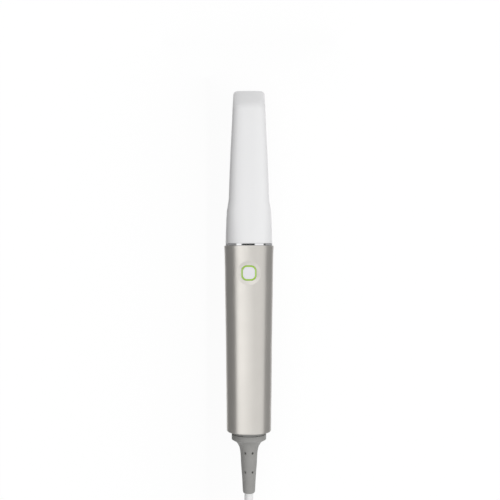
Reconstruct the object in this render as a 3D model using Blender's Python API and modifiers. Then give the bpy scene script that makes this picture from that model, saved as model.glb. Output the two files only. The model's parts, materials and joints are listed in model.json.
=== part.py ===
"""Intraoral scanner: a hand-held wand with a removable scanning tip, in metres, +Z up.

The wand lies on its underside with the button up, the tip towards +Y and the cable towards -Y.
The origin is on the surface it lies on, under the middle of its length without the free cable.
"""

import math

import bmesh
import bpy
from mathutils import Vector

# Clearances
SEAT = 0.0003  # between a piece and what it is seated on
SLIDE = 0.0004  # between the tip sleeve and the nose it slides on
LIGHT_FIT = 0.00015  # around the light ring in the handle's hole

# Lengths along the wand
TIP_LENGTH = 0.1011
TRIM_LENGTH = 0.0014
HANDLE_LENGTH = 0.1221
BOOT_LENGTH = 0.0416
TOTAL_LENGTH = TIP_LENGTH + TRIM_LENGTH + 2 * SEAT + HANDLE_LENGTH + BOOT_LENGTH
TIP_BASE_Y = TOTAL_LENGTH / 2 - TIP_LENGTH
HANDLE_FRONT_Y = TIP_BASE_Y - TRIM_LENGTH - 2 * SEAT
HANDLE_TAIL_Y = HANDLE_FRONT_Y - HANDLE_LENGTH
BOOT_END_Y = HANDLE_TAIL_Y - BOOT_LENGTH

# Handle: share of its length from the front, and the value there
HANDLE_HALF_WIDTH = [
    (0.0, 0.0164),
    (0.05, 0.0161),
    (0.23, 0.0158),
    (0.51, 0.0153),
    (0.79, 0.0150),
    (1.0, 0.0147),
]
HANDLE_TOP = [(0.0, 0.0342), (0.25, 0.0339), (0.5, 0.0331), (1.0, 0.0303)]
HANDLE_POWER = 2.4
HANDLE_STATIONS = [0, 0.05, 0.12, 0.19, 0.27, 0.4, 0.55, 0.7, 0.85, 1.0]
HANDLE_WALL = 0.0015
UNDERCUT = 0.0003  # how far the oval would pass below its flat underside

# Tip sleeve: share of its length from the base, and the value there
TIP_HALF_WIDTH = [
    (0.0, 0.01575),
    (0.1, 0.01545),
    (0.2, 0.01495),
    (0.244, 0.0143),
    (0.283, 0.01368),
    (0.33, 0.0135),
    (0.54, 0.0127),
    (0.79, 0.0115),
    (1.0, 0.0106),
]
TIP_BOTTOM = [
    (0.0, 0.0007),
    (0.09, 0.0014),
    (0.15, 0.0029),
    (0.21, 0.0053),
    (0.27, 0.0073),
    (0.34, 0.0083),
    (0.57, 0.0092),
    (1.0, 0.0108),
]
TIP_POWER = [(0.0, 2.5), (0.3, 3.1), (1.0, 3.2)]
TIP_TOP = 0.0335  # height of its top at the base
TIP_SLOPE = math.radians(3.9)  # its top falls towards the end
TIP_SLANT = math.radians(45)  # the end face that backs the mirror
TIP_LIP_TOP = 0.0161  # where the slanted face meets the end
TIP_CREASE = 0.0026  # how softly the top turns into the slanted face
TIP_CORNER = 0.0026  # round corners of the end, seen from above
TIP_EDGE = 0.0011  # round edges of the end, seen from the side
TIP_WALL = 0.0015
CAVITY_END = 0.0034  # what is left solid behind the cavity

# Mirror and scan window
MIRROR_HALF_WIDTH = 0.0068
MIRROR_LENGTH = 0.0108
MIRROR_FORWARD = 0.0032  # how far its middle lies ahead of the middle of the window
MIRROR_THICKNESS = 0.0010
MIRROR_BEHIND_FACE = 0.0010
WINDOW_HALF_WIDTH = 0.0070
WINDOW_FROM_END = 0.0044
WINDOW_LENGTH = 0.0145
WINDOW_END = TIP_LENGTH - WINDOW_FROM_END
WINDOW_START = WINDOW_END - WINDOW_LENGTH
WINDOW_CORNER = 0.0020

# Trim ring
TRIM_HALF_WIDTH = 0.0159
TRIM_TOP = 0.0337
TRIM_BOTTOM = 0.0005
TRIM_THICKNESS = 0.0010

# Nose that the tip slides on
NOSE_REACH = 0.0534
NOSE_STATIONS = (0.1, 0.17, 0.22, 0.26, 0.3, 0.34)  # shares of the tip's length
NOSE_WALL = 0.0013
NOSE_FLANGE_LENGTH = 0.0080
NOSE_LEDGE = 0.0006
GLASS_THICKNESS = 0.0012
SEAL_RADIUS = 0.0005
SEAL_FROM_BASE = 0.0040
SEAL_PROUD = 0.0002
SEAL_GROOVE = 2 * SEAL_RADIUS - SEAL_PROUD + SEAT

# Button
BUTTON_FROM_FRONT = 0.0174
DISH_RADIUS = 0.0078
DISH_DEPTH = 0.0005
LIGHT_HALF = 0.00505
LIGHT_WIDTH = 0.00095
LIGHT_CORNER = 0.0029
CAP_FIT = 0.0002
CAP_PROUD = 0.00025
BUTTON_TRAVEL = 0.0005
FLANGE_HALF = 0.0065
FLANGE_DROP = 0.00265
FLANGE_THICKNESS = 0.00085
POCKET_DROP = 0.0031
POCKET_HALF = 0.0051
SKIRT_HALF = 0.0047
SKIRT_THICKNESS = 0.0010
STEM_RADIUS = 0.0016
STEM_LENGTH = 0.0006
PLUNGER_RADIUS = 0.0017
PLUNGER_LENGTH = 0.0022
PLUNGER_PROUD = BUTTON_TRAVEL + SEAT
SWITCH_HALF = 0.0030
SWITCH_HEIGHT = 0.0029
SWITCH_FLOOR = 0.0007
SWITCH_BOARD_HALF = 0.0075
BOARD_THICKNESS = 0.0010

# Optics, on one line towards the mirror
OPTICS_Z = 0.0196
OPTICS_BEHIND_WINDOW = 0.0040
OPTICS_FRONT = NOSE_REACH - OPTICS_BEHIND_WINDOW  # front of the barrels, from the tip's base
CAMERA_SPREAD = 0.0066
CAMERA_RADIUS = 0.0024
CAMERA_LENGTH = 0.0170
PROJECTOR_RADIUS = 0.0029
PROJECTOR_LENGTH = 0.0206
LENS_WALL = 0.0006
LENS_THICKNESS = 0.0012
LENS_SETBACK = 0.0004
CARRIER_FROM_FRONT = 0.0060
CARRIER_THICKNESS = 0.0060
SENSOR_BOARD_HALF_WIDTH = 0.0028
SENSOR_BOARD_HALF_HEIGHT = 0.0045
PROJECTOR_HALF_WIDTH = 0.0062
PROJECTOR_HALF_HEIGHT = 0.0060
PROJECTOR_BODY_LENGTH = 0.0150
LED_BOARD_HALF = 0.0060
SINK_LENGTH = 0.0120
SINK_BASE = 0.0025
SINK_FINS = 5
FIN_THICKNESS = 0.0010

# Inner frame and boards
FRAME_TOP = 0.0133
FRAME_THICKNESS = 0.0013
FRAME_HALF_WIDTH = 0.0080
FRAME_UNDER_PROJECTOR = 0.0055
FRAME_FROM_TAIL = 0.0060
SLOT_HALF_WIDTH = 0.0038
SLOT_LENGTH = 0.0200
POST_HEIGHT = 0.0030
POST_RADIUS = 0.0021
POST_SPREAD = 0.0058
MAIN_BOARD_HALF_WIDTH = 0.0090
BOARD_FROM_CLAMP = 0.0133
MAIN_BOARD_FROM_FRONT = 0.0080
HOLE_FROM_END = 0.0035
SCREW_RADIUS = 0.0009
SCREW_HEAD_RADIUS = 0.0017
SCREW_HEAD_HEIGHT = 0.0012
SCREW_LENGTH = 0.0036
SCREW_FIT = 0.0002

# Tail: end cap, boot and cable
CAP_RECESS = 0.0010
CAP_THICKNESS = 0.0027
NECK_RADIUS = 0.0080
COLLAR_RADIUS = 0.01145
COLLAR_STEP_RADIUS = 0.0110
COLLAR_STEP = 0.0023
COLLAR_LENGTH = 0.0060
INNER_FLANGE_RADIUS = 0.0095
INNER_FLANGE_LENGTH = 0.0015
BOOT_TAPER = [
    (0.0, 0.01115),
    (0.05, 0.0085),
    (0.105, 0.0071),
    (0.165, 0.00625),
    (0.27, 0.00565),
    (0.5, 0.0052),
    (0.75, 0.00455),
    (1.0, 0.0041),
]
BOOT_END_RADIUS = 0.0034
BOOT_CHAMFER = 0.0018
DIMPLE_RADIUS = 0.00065
DIMPLE_DEPTH = 0.0012
DIMPLE_ANGLE = math.radians(26)
DIMPLE_FROM_TAIL = (0.0144, 0.0272)
CABLE_RADIUS = 0.0029
CABLE_START_IN_BOOT = 0.0100
CLAMP_LENGTH = 0.0060
CLAMP_HALF_WIDTH = 0.0078
CLAMP_ABOVE_CABLE = 0.0012
CLAMP_FROM_TAIL = 0.0150
CLAMP_SCREW_SPREAD = 0.0059
CONNECTOR_HEIGHT = 0.0060
CONNECTOR_LENGTH = 0.0060
CONNECTOR_GAP = 0.0010
MEMORY_X = {"left": -0.0044, "right": 0.0044}

# Free cable, folded away in a hank behind the boot
HANK_GAP = 0.0470
HANK_LENGTH = 0.1200
HANK_FOLD_RADIUS = 0.0261
HANK_WAIST = 0.0070
HANK_WAIST_SPREAD = 0.0270
HANK_HEIGHT = 0.0186
TIE_WIDTH = 0.0100
TIE_THICKNESS = 0.0009
TIE_NOTCH = 0.0013
TAIL_X = HANK_FOLD_RADIUS - HANK_WAIST - 2 * CABLE_RADIUS  # between the turns at the waist
HUMP_RUN = 0.0050  # how far the strap slopes down beside the cable's end
PLUG_FROM_TIE = 0.0160
PLUG_X = 0.0170  # the plug lies on the turns of one side
RELIEF_LENGTH = 0.0100
RELIEF_WALL = 0.0009
RELIEF_GROOVES = 3
GROOVE_DEPTH = 0.0004
PLUG_HALF_WIDTH = 0.0080
PLUG_HALF_HEIGHT = 0.0040
PLUG_LENGTH = 0.0200
SHELL_HALF_WIDTH = 0.0060
SHELL_HALF_HEIGHT = 0.00225
SHELL_LENGTH = 0.0120
SHELL_WALL = 0.0003
SHELL_WINDOW_HALF = 0.0011
SHELL_WINDOW_X = 0.0029
SHELL_WINDOW_FROM_MOUTH = 0.0052
TONGUE_THICKNESS = 0.0015

OVAL_POINTS = 32
ROUND_STEPS = 24
SMALL_STEPS = 12
RELIEF_STEPS = 16
BOOT_STEPS = 9
TAIL_Z = HANDLE_TOP[-1][1] / 2  # middle height of the handle's tail and of the boot
BUTTON_Y = HANDLE_FRONT_Y - BUTTON_FROM_FRONT


def smooth(stations, share):
    """Value at a share of the length, on a curve through the stations that never overshoots."""
    share = min(max(share, stations[0][0]), stations[-1][0])
    steps = list(zip(stations, stations[1:]))
    secants = [(b[1] - a[1]) / (b[0] - a[0]) for a, b in steps]
    slopes = [secants[0]]
    for before, after in zip(secants, secants[1:]):
        slopes.append(0 if before * after <= 0 else 2 * before * after / (before + after))
    slopes.append(secants[-1])
    for k, (a, b) in enumerate(steps):
        if share <= b[0]:
            run = b[0] - a[0]
            u = (share - a[0]) / run
            bend = (a[1] - b[1]) * (2 * u**3 - 3 * u**2) + a[1]
            return bend + run * (slopes[k] * (u**3 - 2 * u**2 + u) + slopes[k + 1] * (u**3 - u**2))
    return stations[-1][1]


def handle_size(back):
    """Half width, top and bottom of the handle, a distance back from its front."""
    share = back / HANDLE_LENGTH
    return smooth(HANDLE_HALF_WIDTH, share), smooth(HANDLE_TOP, share), -UNDERCUT


def handle_surface(x, back):
    """Height of the handle's outer skin over a point."""
    half_width, top, bottom = handle_size(back)
    half = (top - bottom) / 2
    fall = 1 - abs(x / half_width) ** HANDLE_POWER
    return top - half + half * fall ** (1 / HANDLE_POWER)


def tip_size(ahead, inset=0.0):
    """Half width, top and bottom of the tip, a distance ahead of its base, a wall further in."""
    share = ahead / TIP_LENGTH
    crown = TIP_TOP - math.tan(TIP_SLOPE) * ahead - inset
    slant = TIP_LIP_TOP + math.tan(TIP_SLANT) * (TIP_LENGTH - ahead) - inset / math.cos(TIP_SLANT)
    mix = max(TIP_CREASE - abs(crown - slant), 0) / TIP_CREASE
    top = min(crown, slant) - mix**2 * TIP_CREASE / 4
    return smooth(TIP_HALF_WIDTH, share) - inset, top, smooth(TIP_BOTTOM, share) + inset


def tip_power(ahead):
    return smooth(TIP_POWER, ahead / TIP_LENGTH)


def round_off(size, left, corner, edge):
    """Draw a section in near the end, so that its corners and edges are arcs."""
    half_width, top, bottom = size
    in_plan = corner * (1 - math.sqrt(max(0, 1 - (1 - min(left / corner, 1)) ** 2)))
    in_side = edge * (1 - math.sqrt(max(0, 1 - (1 - min(left / edge, 1)) ** 2)))
    return half_width - in_plan, top - in_side, bottom + in_side


def collection(name):
    made = bpy.data.collections.new(name)
    bpy.context.scene.collection.children.link(made)
    return made


def paint(name, color, roughness, metallic=0.0):
    material = bpy.data.materials.new(name)
    material.use_nodes = True
    shader = material.node_tree.nodes["Principled BSDF"]
    shader.inputs["Base Color"].default_value = (*color, 1)
    shader.inputs["Roughness"].default_value = roughness
    shader.inputs["Metallic"].default_value = metallic
    return material


def place(name, mesh, finish, at=(0, 0, 0), parent=None):
    """Put a mesh in the scanner's collection; with no finish it is a cutter, which is hidden."""
    made = bpy.data.objects.new(name, mesh)
    made.location = at
    made.parent = parent
    if finish is None:
        CUTTERS.objects.link(made)
        made.hide_render = True
        made.display_type = "WIRE"
    else:
        mesh.materials.append(finish)
        SCANNER.objects.link(made)
    return made


def to_mesh(name, bm):
    bmesh.ops.recalc_face_normals(bm, faces=bm.faces)
    mesh = bpy.data.meshes.new(name)
    bm.to_mesh(mesh)
    bm.free()
    mesh.shade_smooth()
    mesh.set_sharp_from_angle(angle=math.radians(35))
    return mesh


def loft(name, rings, finish, at=(0, 0, 0), parent=None, capped=True):
    """A skin through rings of equal count, which are lists of points."""
    bm = bmesh.new()
    loops = [[bm.verts.new(point) for point in ring] for ring in rings]
    for ring, following in zip(loops, loops[1:]):
        for i in range(len(ring)):
            j = (i + 1) % len(ring)
            bm.faces.new((ring[i], ring[j], following[j], following[i]))
    if capped:
        bm.faces.new(loops[0])
        bm.faces.new(loops[-1])
    return place(name, to_mesh(name, bm), finish, at, parent)


def oval(size, power, y, floor=None):
    """Points of a superellipse across the wand, flattened where it would pass below the floor."""
    half_width, top, bottom = size
    middle, half = (top + bottom) / 2, (top - bottom) / 2
    points = []
    for i in range(OVAL_POINTS):
        angle = 2 * math.pi * i / OVAL_POINTS
        c, s = math.cos(angle), math.sin(angle)
        x = half_width * math.copysign(abs(c) ** (2 / power), c)
        z = middle + half * math.copysign(abs(s) ** (2 / power), s)
        points.append((x, y, z if floor is None else max(z, floor)))
    return points


def grown(size, by):
    return size[0] + by, size[1] + by, size[2] - by


def rounded(half_x, half_y, corner, steps=4):
    """Outline of a rectangle with round corners, anticlockwise."""
    points = []
    for quarter, (sx, sy) in enumerate([(1, 1), (-1, 1), (-1, -1), (1, -1)]):
        for k in range(steps + 1):
            angle = math.pi / 2 * (quarter + k / steps)
            x = sx * (half_x - corner) + corner * math.cos(angle)
            points.append((x, sy * (half_y - corner) + corner * math.sin(angle)))
    return points


def stack(name, levels, finish, at=(0, 0, 0), parent=None):
    """A stepped upright body: levels of (height, half x, half y, corner) from the bottom up."""
    rings = [[(x, y, z) for x, y in rounded(hx, hy, corner)] for z, hx, hy, corner in levels]
    return loft(name, rings, finish, at, parent)


def lying(name, levels, finish, at=(0, 0, 0), parent=None):
    """A stepped body along Y: levels of (y, half x, half z, corner)."""
    rings = [[(x, y, z) for x, z in rounded(hx, hz, corner)] for y, hx, hz, corner in levels]
    return loft(name, rings, finish, at, parent)


def block(name, low, high, finish, bevel=0.0, parent=None):
    """A box between two corners, with its edges bevelled."""
    bm = bmesh.new()
    bmesh.ops.create_cube(bm, size=1)
    size = Vector(high) - Vector(low)
    bmesh.ops.scale(bm, vec=size, verts=bm.verts)
    made = place(name, to_mesh(name, bm), finish, (Vector(low) + Vector(high)) / 2, parent)
    if bevel:
        edge = made.modifiers.new("edges", "BEVEL")
        edge.width = bevel
        edge.segments = 1
    return made


def rod(name, start, end, radius, finish, sides=ROUND_STEPS, parent=None):
    """A round bar between two points."""
    start, end = Vector(start), Vector(end)
    bm = bmesh.new()
    bmesh.ops.create_cone(
        bm,
        cap_ends=True,
        segments=sides,
        radius1=radius,
        radius2=radius,
        depth=(end - start).length,
    )
    turn = Vector((0, 0, 1)).rotation_difference(end - start).to_matrix()
    bmesh.ops.rotate(bm, cent=(0, 0, 0), matrix=turn, verts=bm.verts)
    return place(name, to_mesh(name, bm), finish, (start + end) / 2, parent)


def lathe(name, profile, finish, at, steps=ROUND_STEPS, parent=None):
    """A turned body about the wand's length: profile of (distance towards -Y, radius), a closed loop."""
    bm = bmesh.new()
    verts = [bm.verts.new((radius, 0, -away)) for away, radius in profile]
    for a, b in zip(verts, verts[1:] + verts[:1]):
        bm.edges.new((a, b))
    mesh = bpy.data.meshes.new(name)
    bm.to_mesh(mesh)
    bm.free()
    made = place(name, mesh, finish, at, parent)
    made.rotation_euler = (-math.pi / 2, 0, 0)
    turn = made.modifiers.new("turned", "SCREW")
    turn.steps = steps
    turn.render_steps = steps
    turn.use_merge_vertices = True
    turn.merge_threshold = 0.00001
    turn.use_smooth_shade = True
    return made


def cord(name, points, radius, finish, closed=False, sides=3):
    """A bent round bar on a chain of points."""
    curve = bpy.data.curves.new(name, "CURVE")
    curve.dimensions = "3D"
    curve.bevel_depth = radius
    curve.bevel_resolution = sides
    curve.resolution_u = 1
    curve.render_resolution_u = 0
    curve.use_fill_caps = not closed
    spline = curve.splines.new("POLY")
    spline.points.add(len(points) - 1)
    for point, co in zip(spline.points, points):
        point.co = (*co, 1)
    spline.use_cyclic_u = closed
    made = bpy.data.objects.new(name, curve)
    curve.materials.append(finish)
    SCANNER.objects.link(made)
    return made


def combine(target, tool, operation="DIFFERENCE"):
    """Cut a tool out of a piece, or join the two."""
    step = target.modifiers.new(tool.name, "BOOLEAN")
    step.operation = operation
    step.solver = "EXACT"
    step.object = tool
    return target


def through(points, steps):
    """Points on one smooth curve through chosen points, each with a tangent from its neighbours."""
    points = [Vector(p) for p in points]
    found = []
    for k in range(len(points) - 1):
        before = points[max(k - 1, 0)]
        after = points[min(k + 2, len(points) - 1)]
        a, b = points[k], points[k + 1]
        for i in range(steps):
            u = i / steps
            found.append(
                0.5 * (2 * a + (b - before) * u + (2 * before - 5 * a + 4 * b - after) * u**2)
                + 0.5 * (3 * a - before - 3 * b + after) * u**3
            )
    return found + [points[-1]]


for leftover in list(bpy.data.objects):
    bpy.data.objects.remove(leftover)
SCANNER = collection("intraoral_scanner")
CUTTERS = collection("cutters")

WHITE = paint("white_polymer", (0.83, 0.83, 0.83), 0.4)
SILVER = paint("warm_silver", (0.60, 0.58, 0.55), 0.35, 1.0)
CHROME = paint("polished_trim", (0.85, 0.85, 0.86), 0.05, 1.0)
GREEN = paint("green_light_guide", (0.25, 0.52, 0.06), 0.4)
BLACK = paint("black_polymer", (0.02, 0.02, 0.02), 0.5)
GREY_RUBBER = paint("grey_rubber", (0.27, 0.27, 0.26), 0.6)
CABLE_GREY = paint("light_grey_jacket", (0.60, 0.60, 0.60), 0.5)
SEAL_BLACK = paint("seal_rubber", (0.015, 0.015, 0.015), 0.7)
GLASS = paint("coated_glass", (0.10, 0.12, 0.16), 0.05)
MIRROR = paint("front_mirror", (0.90, 0.90, 0.92), 0.02, 1.0)
ALUMINIUM = paint("bare_aluminium", (0.62, 0.63, 0.64), 0.4, 1.0)
STEEL = paint("screw_steel", (0.50, 0.50, 0.50), 0.3, 1.0)
BOARD_GREEN = paint("board_laminate", (0.02, 0.12, 0.05), 0.5)


def make_handle():
    """One-piece metal tube with a shallow round dish and the button's hole."""
    rings = []
    for share in HANDLE_STATIONS:
        back = share * HANDLE_LENGTH
        rings.append(oval(handle_size(back), HANDLE_POWER, -back, floor=0.0))
    housing = loft("housing", rings, SILVER, (0, HANDLE_FRONT_Y, 0), capped=False)
    wall = housing.modifiers.new("wall", "SOLIDIFY")
    wall.thickness = HANDLE_WALL
    wall.offset = -1
    wall.use_even_offset = True
    combine(housing, dish_cutter("dish_cutter", 0.0))
    hole_half = LIGHT_HALF + LIGHT_FIT
    corner = LIGHT_CORNER + LIGHT_FIT
    levels = [(-0.006, hole_half, hole_half, corner), (0.002, hole_half, hole_half, corner)]
    combine(housing, stack("button_hole", levels, None, parent=BUTTON_AXIS))


def dish_cutter(name, lift):
    """Everything above a shallow dish that is sunk into the handle's own curved skin."""
    reach = 1.12
    above = 0.004
    rings = []
    for share in (0.01, 0.3, 0.55, 0.75, 0.9, 1.0, reach):
        radius = share * DISH_RADIUS
        ring = []
        for i in range(OVAL_POINTS):
            angle = 2 * math.pi * i / OVAL_POINTS
            x, y = radius * math.cos(angle), radius * math.sin(angle)
            skin = handle_surface(x, BUTTON_FROM_FRONT - y) - CROWN_Z
            ring.append((x, y, skin + DISH_DEPTH * (share**2 - 1) + lift))
        rings.append(ring)
    rings.append([(x, y, above) for x, y, _ in rings[-1]])
    return loft(name, rings, None, parent=BUTTON_AXIS)


def make_trim():
    """Bright ring between the tip and the handle."""
    outer = (TRIM_HALF_WIDTH, TRIM_TOP, TRIM_BOTTOM)
    middle_y = HANDLE_FRONT_Y + SEAT + TRIM_LENGTH / 2
    rings = [oval(outer, HANDLE_POWER, end * TRIM_LENGTH / 2) for end in (-1, 1)]
    trim = loft("trim_ring", rings, CHROME, (0, middle_y, 0))
    inside = grown(outer, -TRIM_THICKNESS)
    bore = [oval(inside, HANDLE_POWER, end * TRIM_LENGTH) for end in (-1, 1)]
    combine(trim, loft("trim_bore", bore, None, (0, middle_y, 0)))


def make_tip():
    """Removable sleeve: one thin moulding with a slanted end and a window underneath."""
    corner_steps = [0.0026, 0.0017, 0.0010, 0.0004, 0.0001, 0.0]
    shares = [0, 0.1, 0.17, 0.22, 0.26, 0.3, 0.34, 0.45, 0.6, 0.75]
    shares += [0.862, 0.882, 0.902, 0.925, 0.96]
    places = [share * TIP_LENGTH for share in shares] + [TIP_LENGTH - left for left in corner_steps]
    rings = []
    for ahead in places:
        size = round_off(tip_size(ahead), TIP_LENGTH - ahead, TIP_CORNER, TIP_EDGE)
        rings.append(oval(size, tip_power(ahead), ahead))
    sleeve = loft("tip_sleeve", rings, WHITE, parent=TIP_AXIS)
    inside = [-0.05] + shares[1:]
    places = [share * TIP_LENGTH for share in inside] + [TIP_LENGTH - CAVITY_END]
    rings = []
    for ahead in places:
        rings.append(oval(tip_size(ahead, TIP_WALL), tip_power(ahead), ahead))
    combine(sleeve, loft("tip_cavity", rings, None, parent=TIP_AXIS))
    middle = (WINDOW_START + WINDOW_END) / 2
    half = (WINDOW_END - WINDOW_START) / 2
    floor = tip_size(middle, TIP_WALL)[2]
    below, above = floor - 3 * TIP_WALL, floor + TIP_WALL / 2
    levels = [(z, WINDOW_HALF_WIDTH, half, WINDOW_CORNER) for z in (below, above)]
    combine(sleeve, stack("scan_window_cutter", levels, None, (0, middle, 0), TIP_AXIS))


def make_mirror():
    """Front-surface mirror glued behind the slanted end."""
    behind = TIP_WALL + MIRROR_BEHIND_FACE + MIRROR_THICKNESS / 2
    middle = (WINDOW_START + WINDOW_END) / 2 + MIRROR_FORWARD
    height = TIP_LIP_TOP + math.tan(TIP_SLANT) * (TIP_LENGTH - middle) - behind / math.cos(TIP_SLANT)
    half = MIRROR_THICKNESS / 2
    corner = 0.001
    half_length = MIRROR_LENGTH / 2
    levels = [(z, MIRROR_HALF_WIDTH, half_length, corner) for z in (-half, half)]
    mirror = stack("tip_mirror", levels, MIRROR, (0, middle, height), TIP_AXIS)
    mirror.rotation_euler = (-TIP_SLANT, 0, 0)


def nose_size(ahead, inset=0.0):
    return tip_size(ahead, TIP_WALL + SLIDE + inset)


def make_nose():
    """Hollow snout with a flange that closes the front of the handle."""
    back = -(2 * SEAT + TRIM_LENGTH)
    flange = grown(handle_size(0), -HANDLE_WALL - SEAT)
    flange = (flange[0], flange[1], HANDLE_WALL + SEAT)
    collar = grown((TRIM_HALF_WIDTH, TRIM_TOP, TRIM_BOTTOM), -TRIM_THICKNESS - SEAT)
    rings = [
        oval(grown(flange, -SEAT), HANDLE_POWER, back - NOSE_FLANGE_LENGTH),
        oval(flange, HANDLE_POWER, back),
        oval(collar, HANDLE_POWER, back),
        oval(collar, HANDLE_POWER, -SEAT),
        oval(nose_size(0), tip_power(0), -SEAT),
    ]
    groove = SEAL_RADIUS + SEAT
    for ahead in (SEAL_FROM_BASE - groove, SEAL_FROM_BASE + groove):
        plain, sunk = nose_size(ahead), nose_size(ahead, SEAL_GROOVE)
        pair = [plain, sunk] if ahead < SEAL_FROM_BASE else [sunk, plain]
        rings += [oval(size, tip_power(ahead), ahead) for size in pair]
    places = [share * TIP_LENGTH for share in NOSE_STATIONS] + [NOSE_REACH]
    rings += [oval(nose_size(ahead), tip_power(ahead), ahead) for ahead in places]
    nose = loft("nose", rings, BLACK, (0, TIP_BASE_Y, 0))
    throat = nose_size(SEAL_FROM_BASE, SEAL_GROOVE + NOSE_WALL)
    inner = [
        oval(throat, tip_power(0), back - 2 * NOSE_FLANGE_LENGTH),
        oval(throat, tip_power(0), SEAL_FROM_BASE + 3 * groove),
    ]
    inner += [oval(nose_size(a, NOSE_WALL), tip_power(a), a) for a in places[1:-1]]
    seat_at = NOSE_REACH - GLASS_THICKNESS - SEAT
    inner.append(oval(nose_size(seat_at, NOSE_WALL), tip_power(seat_at), seat_at))
    rim = grown(nose_size(seat_at, NOSE_WALL), NOSE_LEDGE)
    inner += [oval(rim, tip_power(seat_at), y) for y in (seat_at, NOSE_REACH + GLASS_THICKNESS)]
    combine(nose, loft("nose_bore", inner, None, (0, TIP_BASE_Y, 0)))
    glass = grown(rim, -SEAT)
    rings = [oval(glass, tip_power(seat_at), seat_at + SEAT + y) for y in (0, GLASS_THICKNESS)]
    loft("nose_window", rings, GLASS, (0, TIP_BASE_Y, 0))
    line = nose_size(SEAL_FROM_BASE, SEAL_RADIUS - SEAL_PROUD)
    path = oval(line, tip_power(0), TIP_BASE_Y + SEAL_FROM_BASE)
    cord("nose_seal", path, SEAL_RADIUS, SEAL_BLACK, closed=True, sides=1)


def make_button():
    """White cap in a green light ring, over a tactile switch on its own small board."""
    inner_half, inner_corner = LIGHT_HALF - LIGHT_WIDTH, LIGHT_CORNER - LIGHT_WIDTH
    flange_bottom = -FLANGE_DROP - FLANGE_THICKNESS
    skirt_top = -POCKET_DROP - SEAT
    skirt_bottom = skirt_top - SKIRT_THICKNESS
    plunger_top = skirt_bottom - STEM_LENGTH - SEAT
    switch_top = plunger_top - PLUNGER_PROUD
    board_top = switch_top - SWITCH_HEIGHT - SEAT
    leg_half = POCKET_HALF + LIGHT_WIDTH
    outer = [
        (board_top + SEAT, leg_half, leg_half, LIGHT_CORNER),
        (flange_bottom, leg_half, leg_half, LIGHT_CORNER),
        (flange_bottom, FLANGE_HALF, FLANGE_HALF, LIGHT_CORNER),
        (-FLANGE_DROP, FLANGE_HALF, FLANGE_HALF, LIGHT_CORNER),
        (-FLANGE_DROP, LIGHT_HALF, LIGHT_HALF, LIGHT_CORNER),
        (0.001, LIGHT_HALF, LIGHT_HALF, LIGHT_CORNER),
    ]
    light = stack("light_ring", outer, GREEN, parent=BUTTON_AXIS)
    inner = [
        (board_top - 0.001, POCKET_HALF, POCKET_HALF, inner_corner),
        (-POCKET_DROP, POCKET_HALF, POCKET_HALF, inner_corner),
        (-POCKET_DROP, inner_half, inner_half, inner_corner),
        (0.002, inner_half, inner_half, inner_corner),
    ]
    combine(light, stack("light_bore", inner, None, parent=BUTTON_AXIS))
    combine(light, dish_cutter("light_face_cutter", 0.0))
    cap_half, cap_corner = inner_half - CAP_FIT, inner_corner - CAP_FIT
    levels = [
        (skirt_bottom, SKIRT_HALF, SKIRT_HALF, cap_corner),
        (skirt_top, SKIRT_HALF, SKIRT_HALF, cap_corner),
        (skirt_top, cap_half, cap_half, cap_corner),
        (0.001, cap_half, cap_half, cap_corner),
    ]
    cap = stack("button_cap", levels, WHITE, parent=BUTTON_AXIS)
    stem = rod(
        "cap_stem",
        (0, 0, plunger_top + SEAT),
        (0, 0, skirt_bottom + SKIRT_THICKNESS / 2),
        STEM_RADIUS,
        None,
        parent=BUTTON_AXIS,
    )
    combine(cap, stem, "UNION")
    combine(cap, dish_cutter("cap_face_cutter", CAP_PROUD))
    low = (0, 0, plunger_top - PLUNGER_LENGTH)
    rod("switch_plunger", low, (0, 0, plunger_top), PLUNGER_RADIUS, BLACK, SMALL_STEPS, BUTTON_AXIS)
    body_low = (-SWITCH_HALF, -SWITCH_HALF, switch_top - SWITCH_HEIGHT)
    body_high = (SWITCH_HALF, SWITCH_HALF, switch_top)
    body = block("switch_body", body_low, body_high, BLACK, 0.0002, BUTTON_AXIS)
    bore_low = (0, 0, switch_top - SWITCH_HEIGHT + SWITCH_FLOOR)
    bore_high = (0, 0, switch_top + SWITCH_FLOOR)
    bore = rod("switch_bore", bore_low, bore_high, PLUNGER_RADIUS + SEAT, None, SMALL_STEPS, BUTTON_AXIS)
    combine(body, bore)
    half = SWITCH_BOARD_HALF
    levels = [(board_top - BOARD_THICKNESS, half, half, 0.001), (board_top, half, half, 0.001)]
    stack("switch_board", levels, BOARD_GREEN, parent=BUTTON_AXIS)


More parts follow.
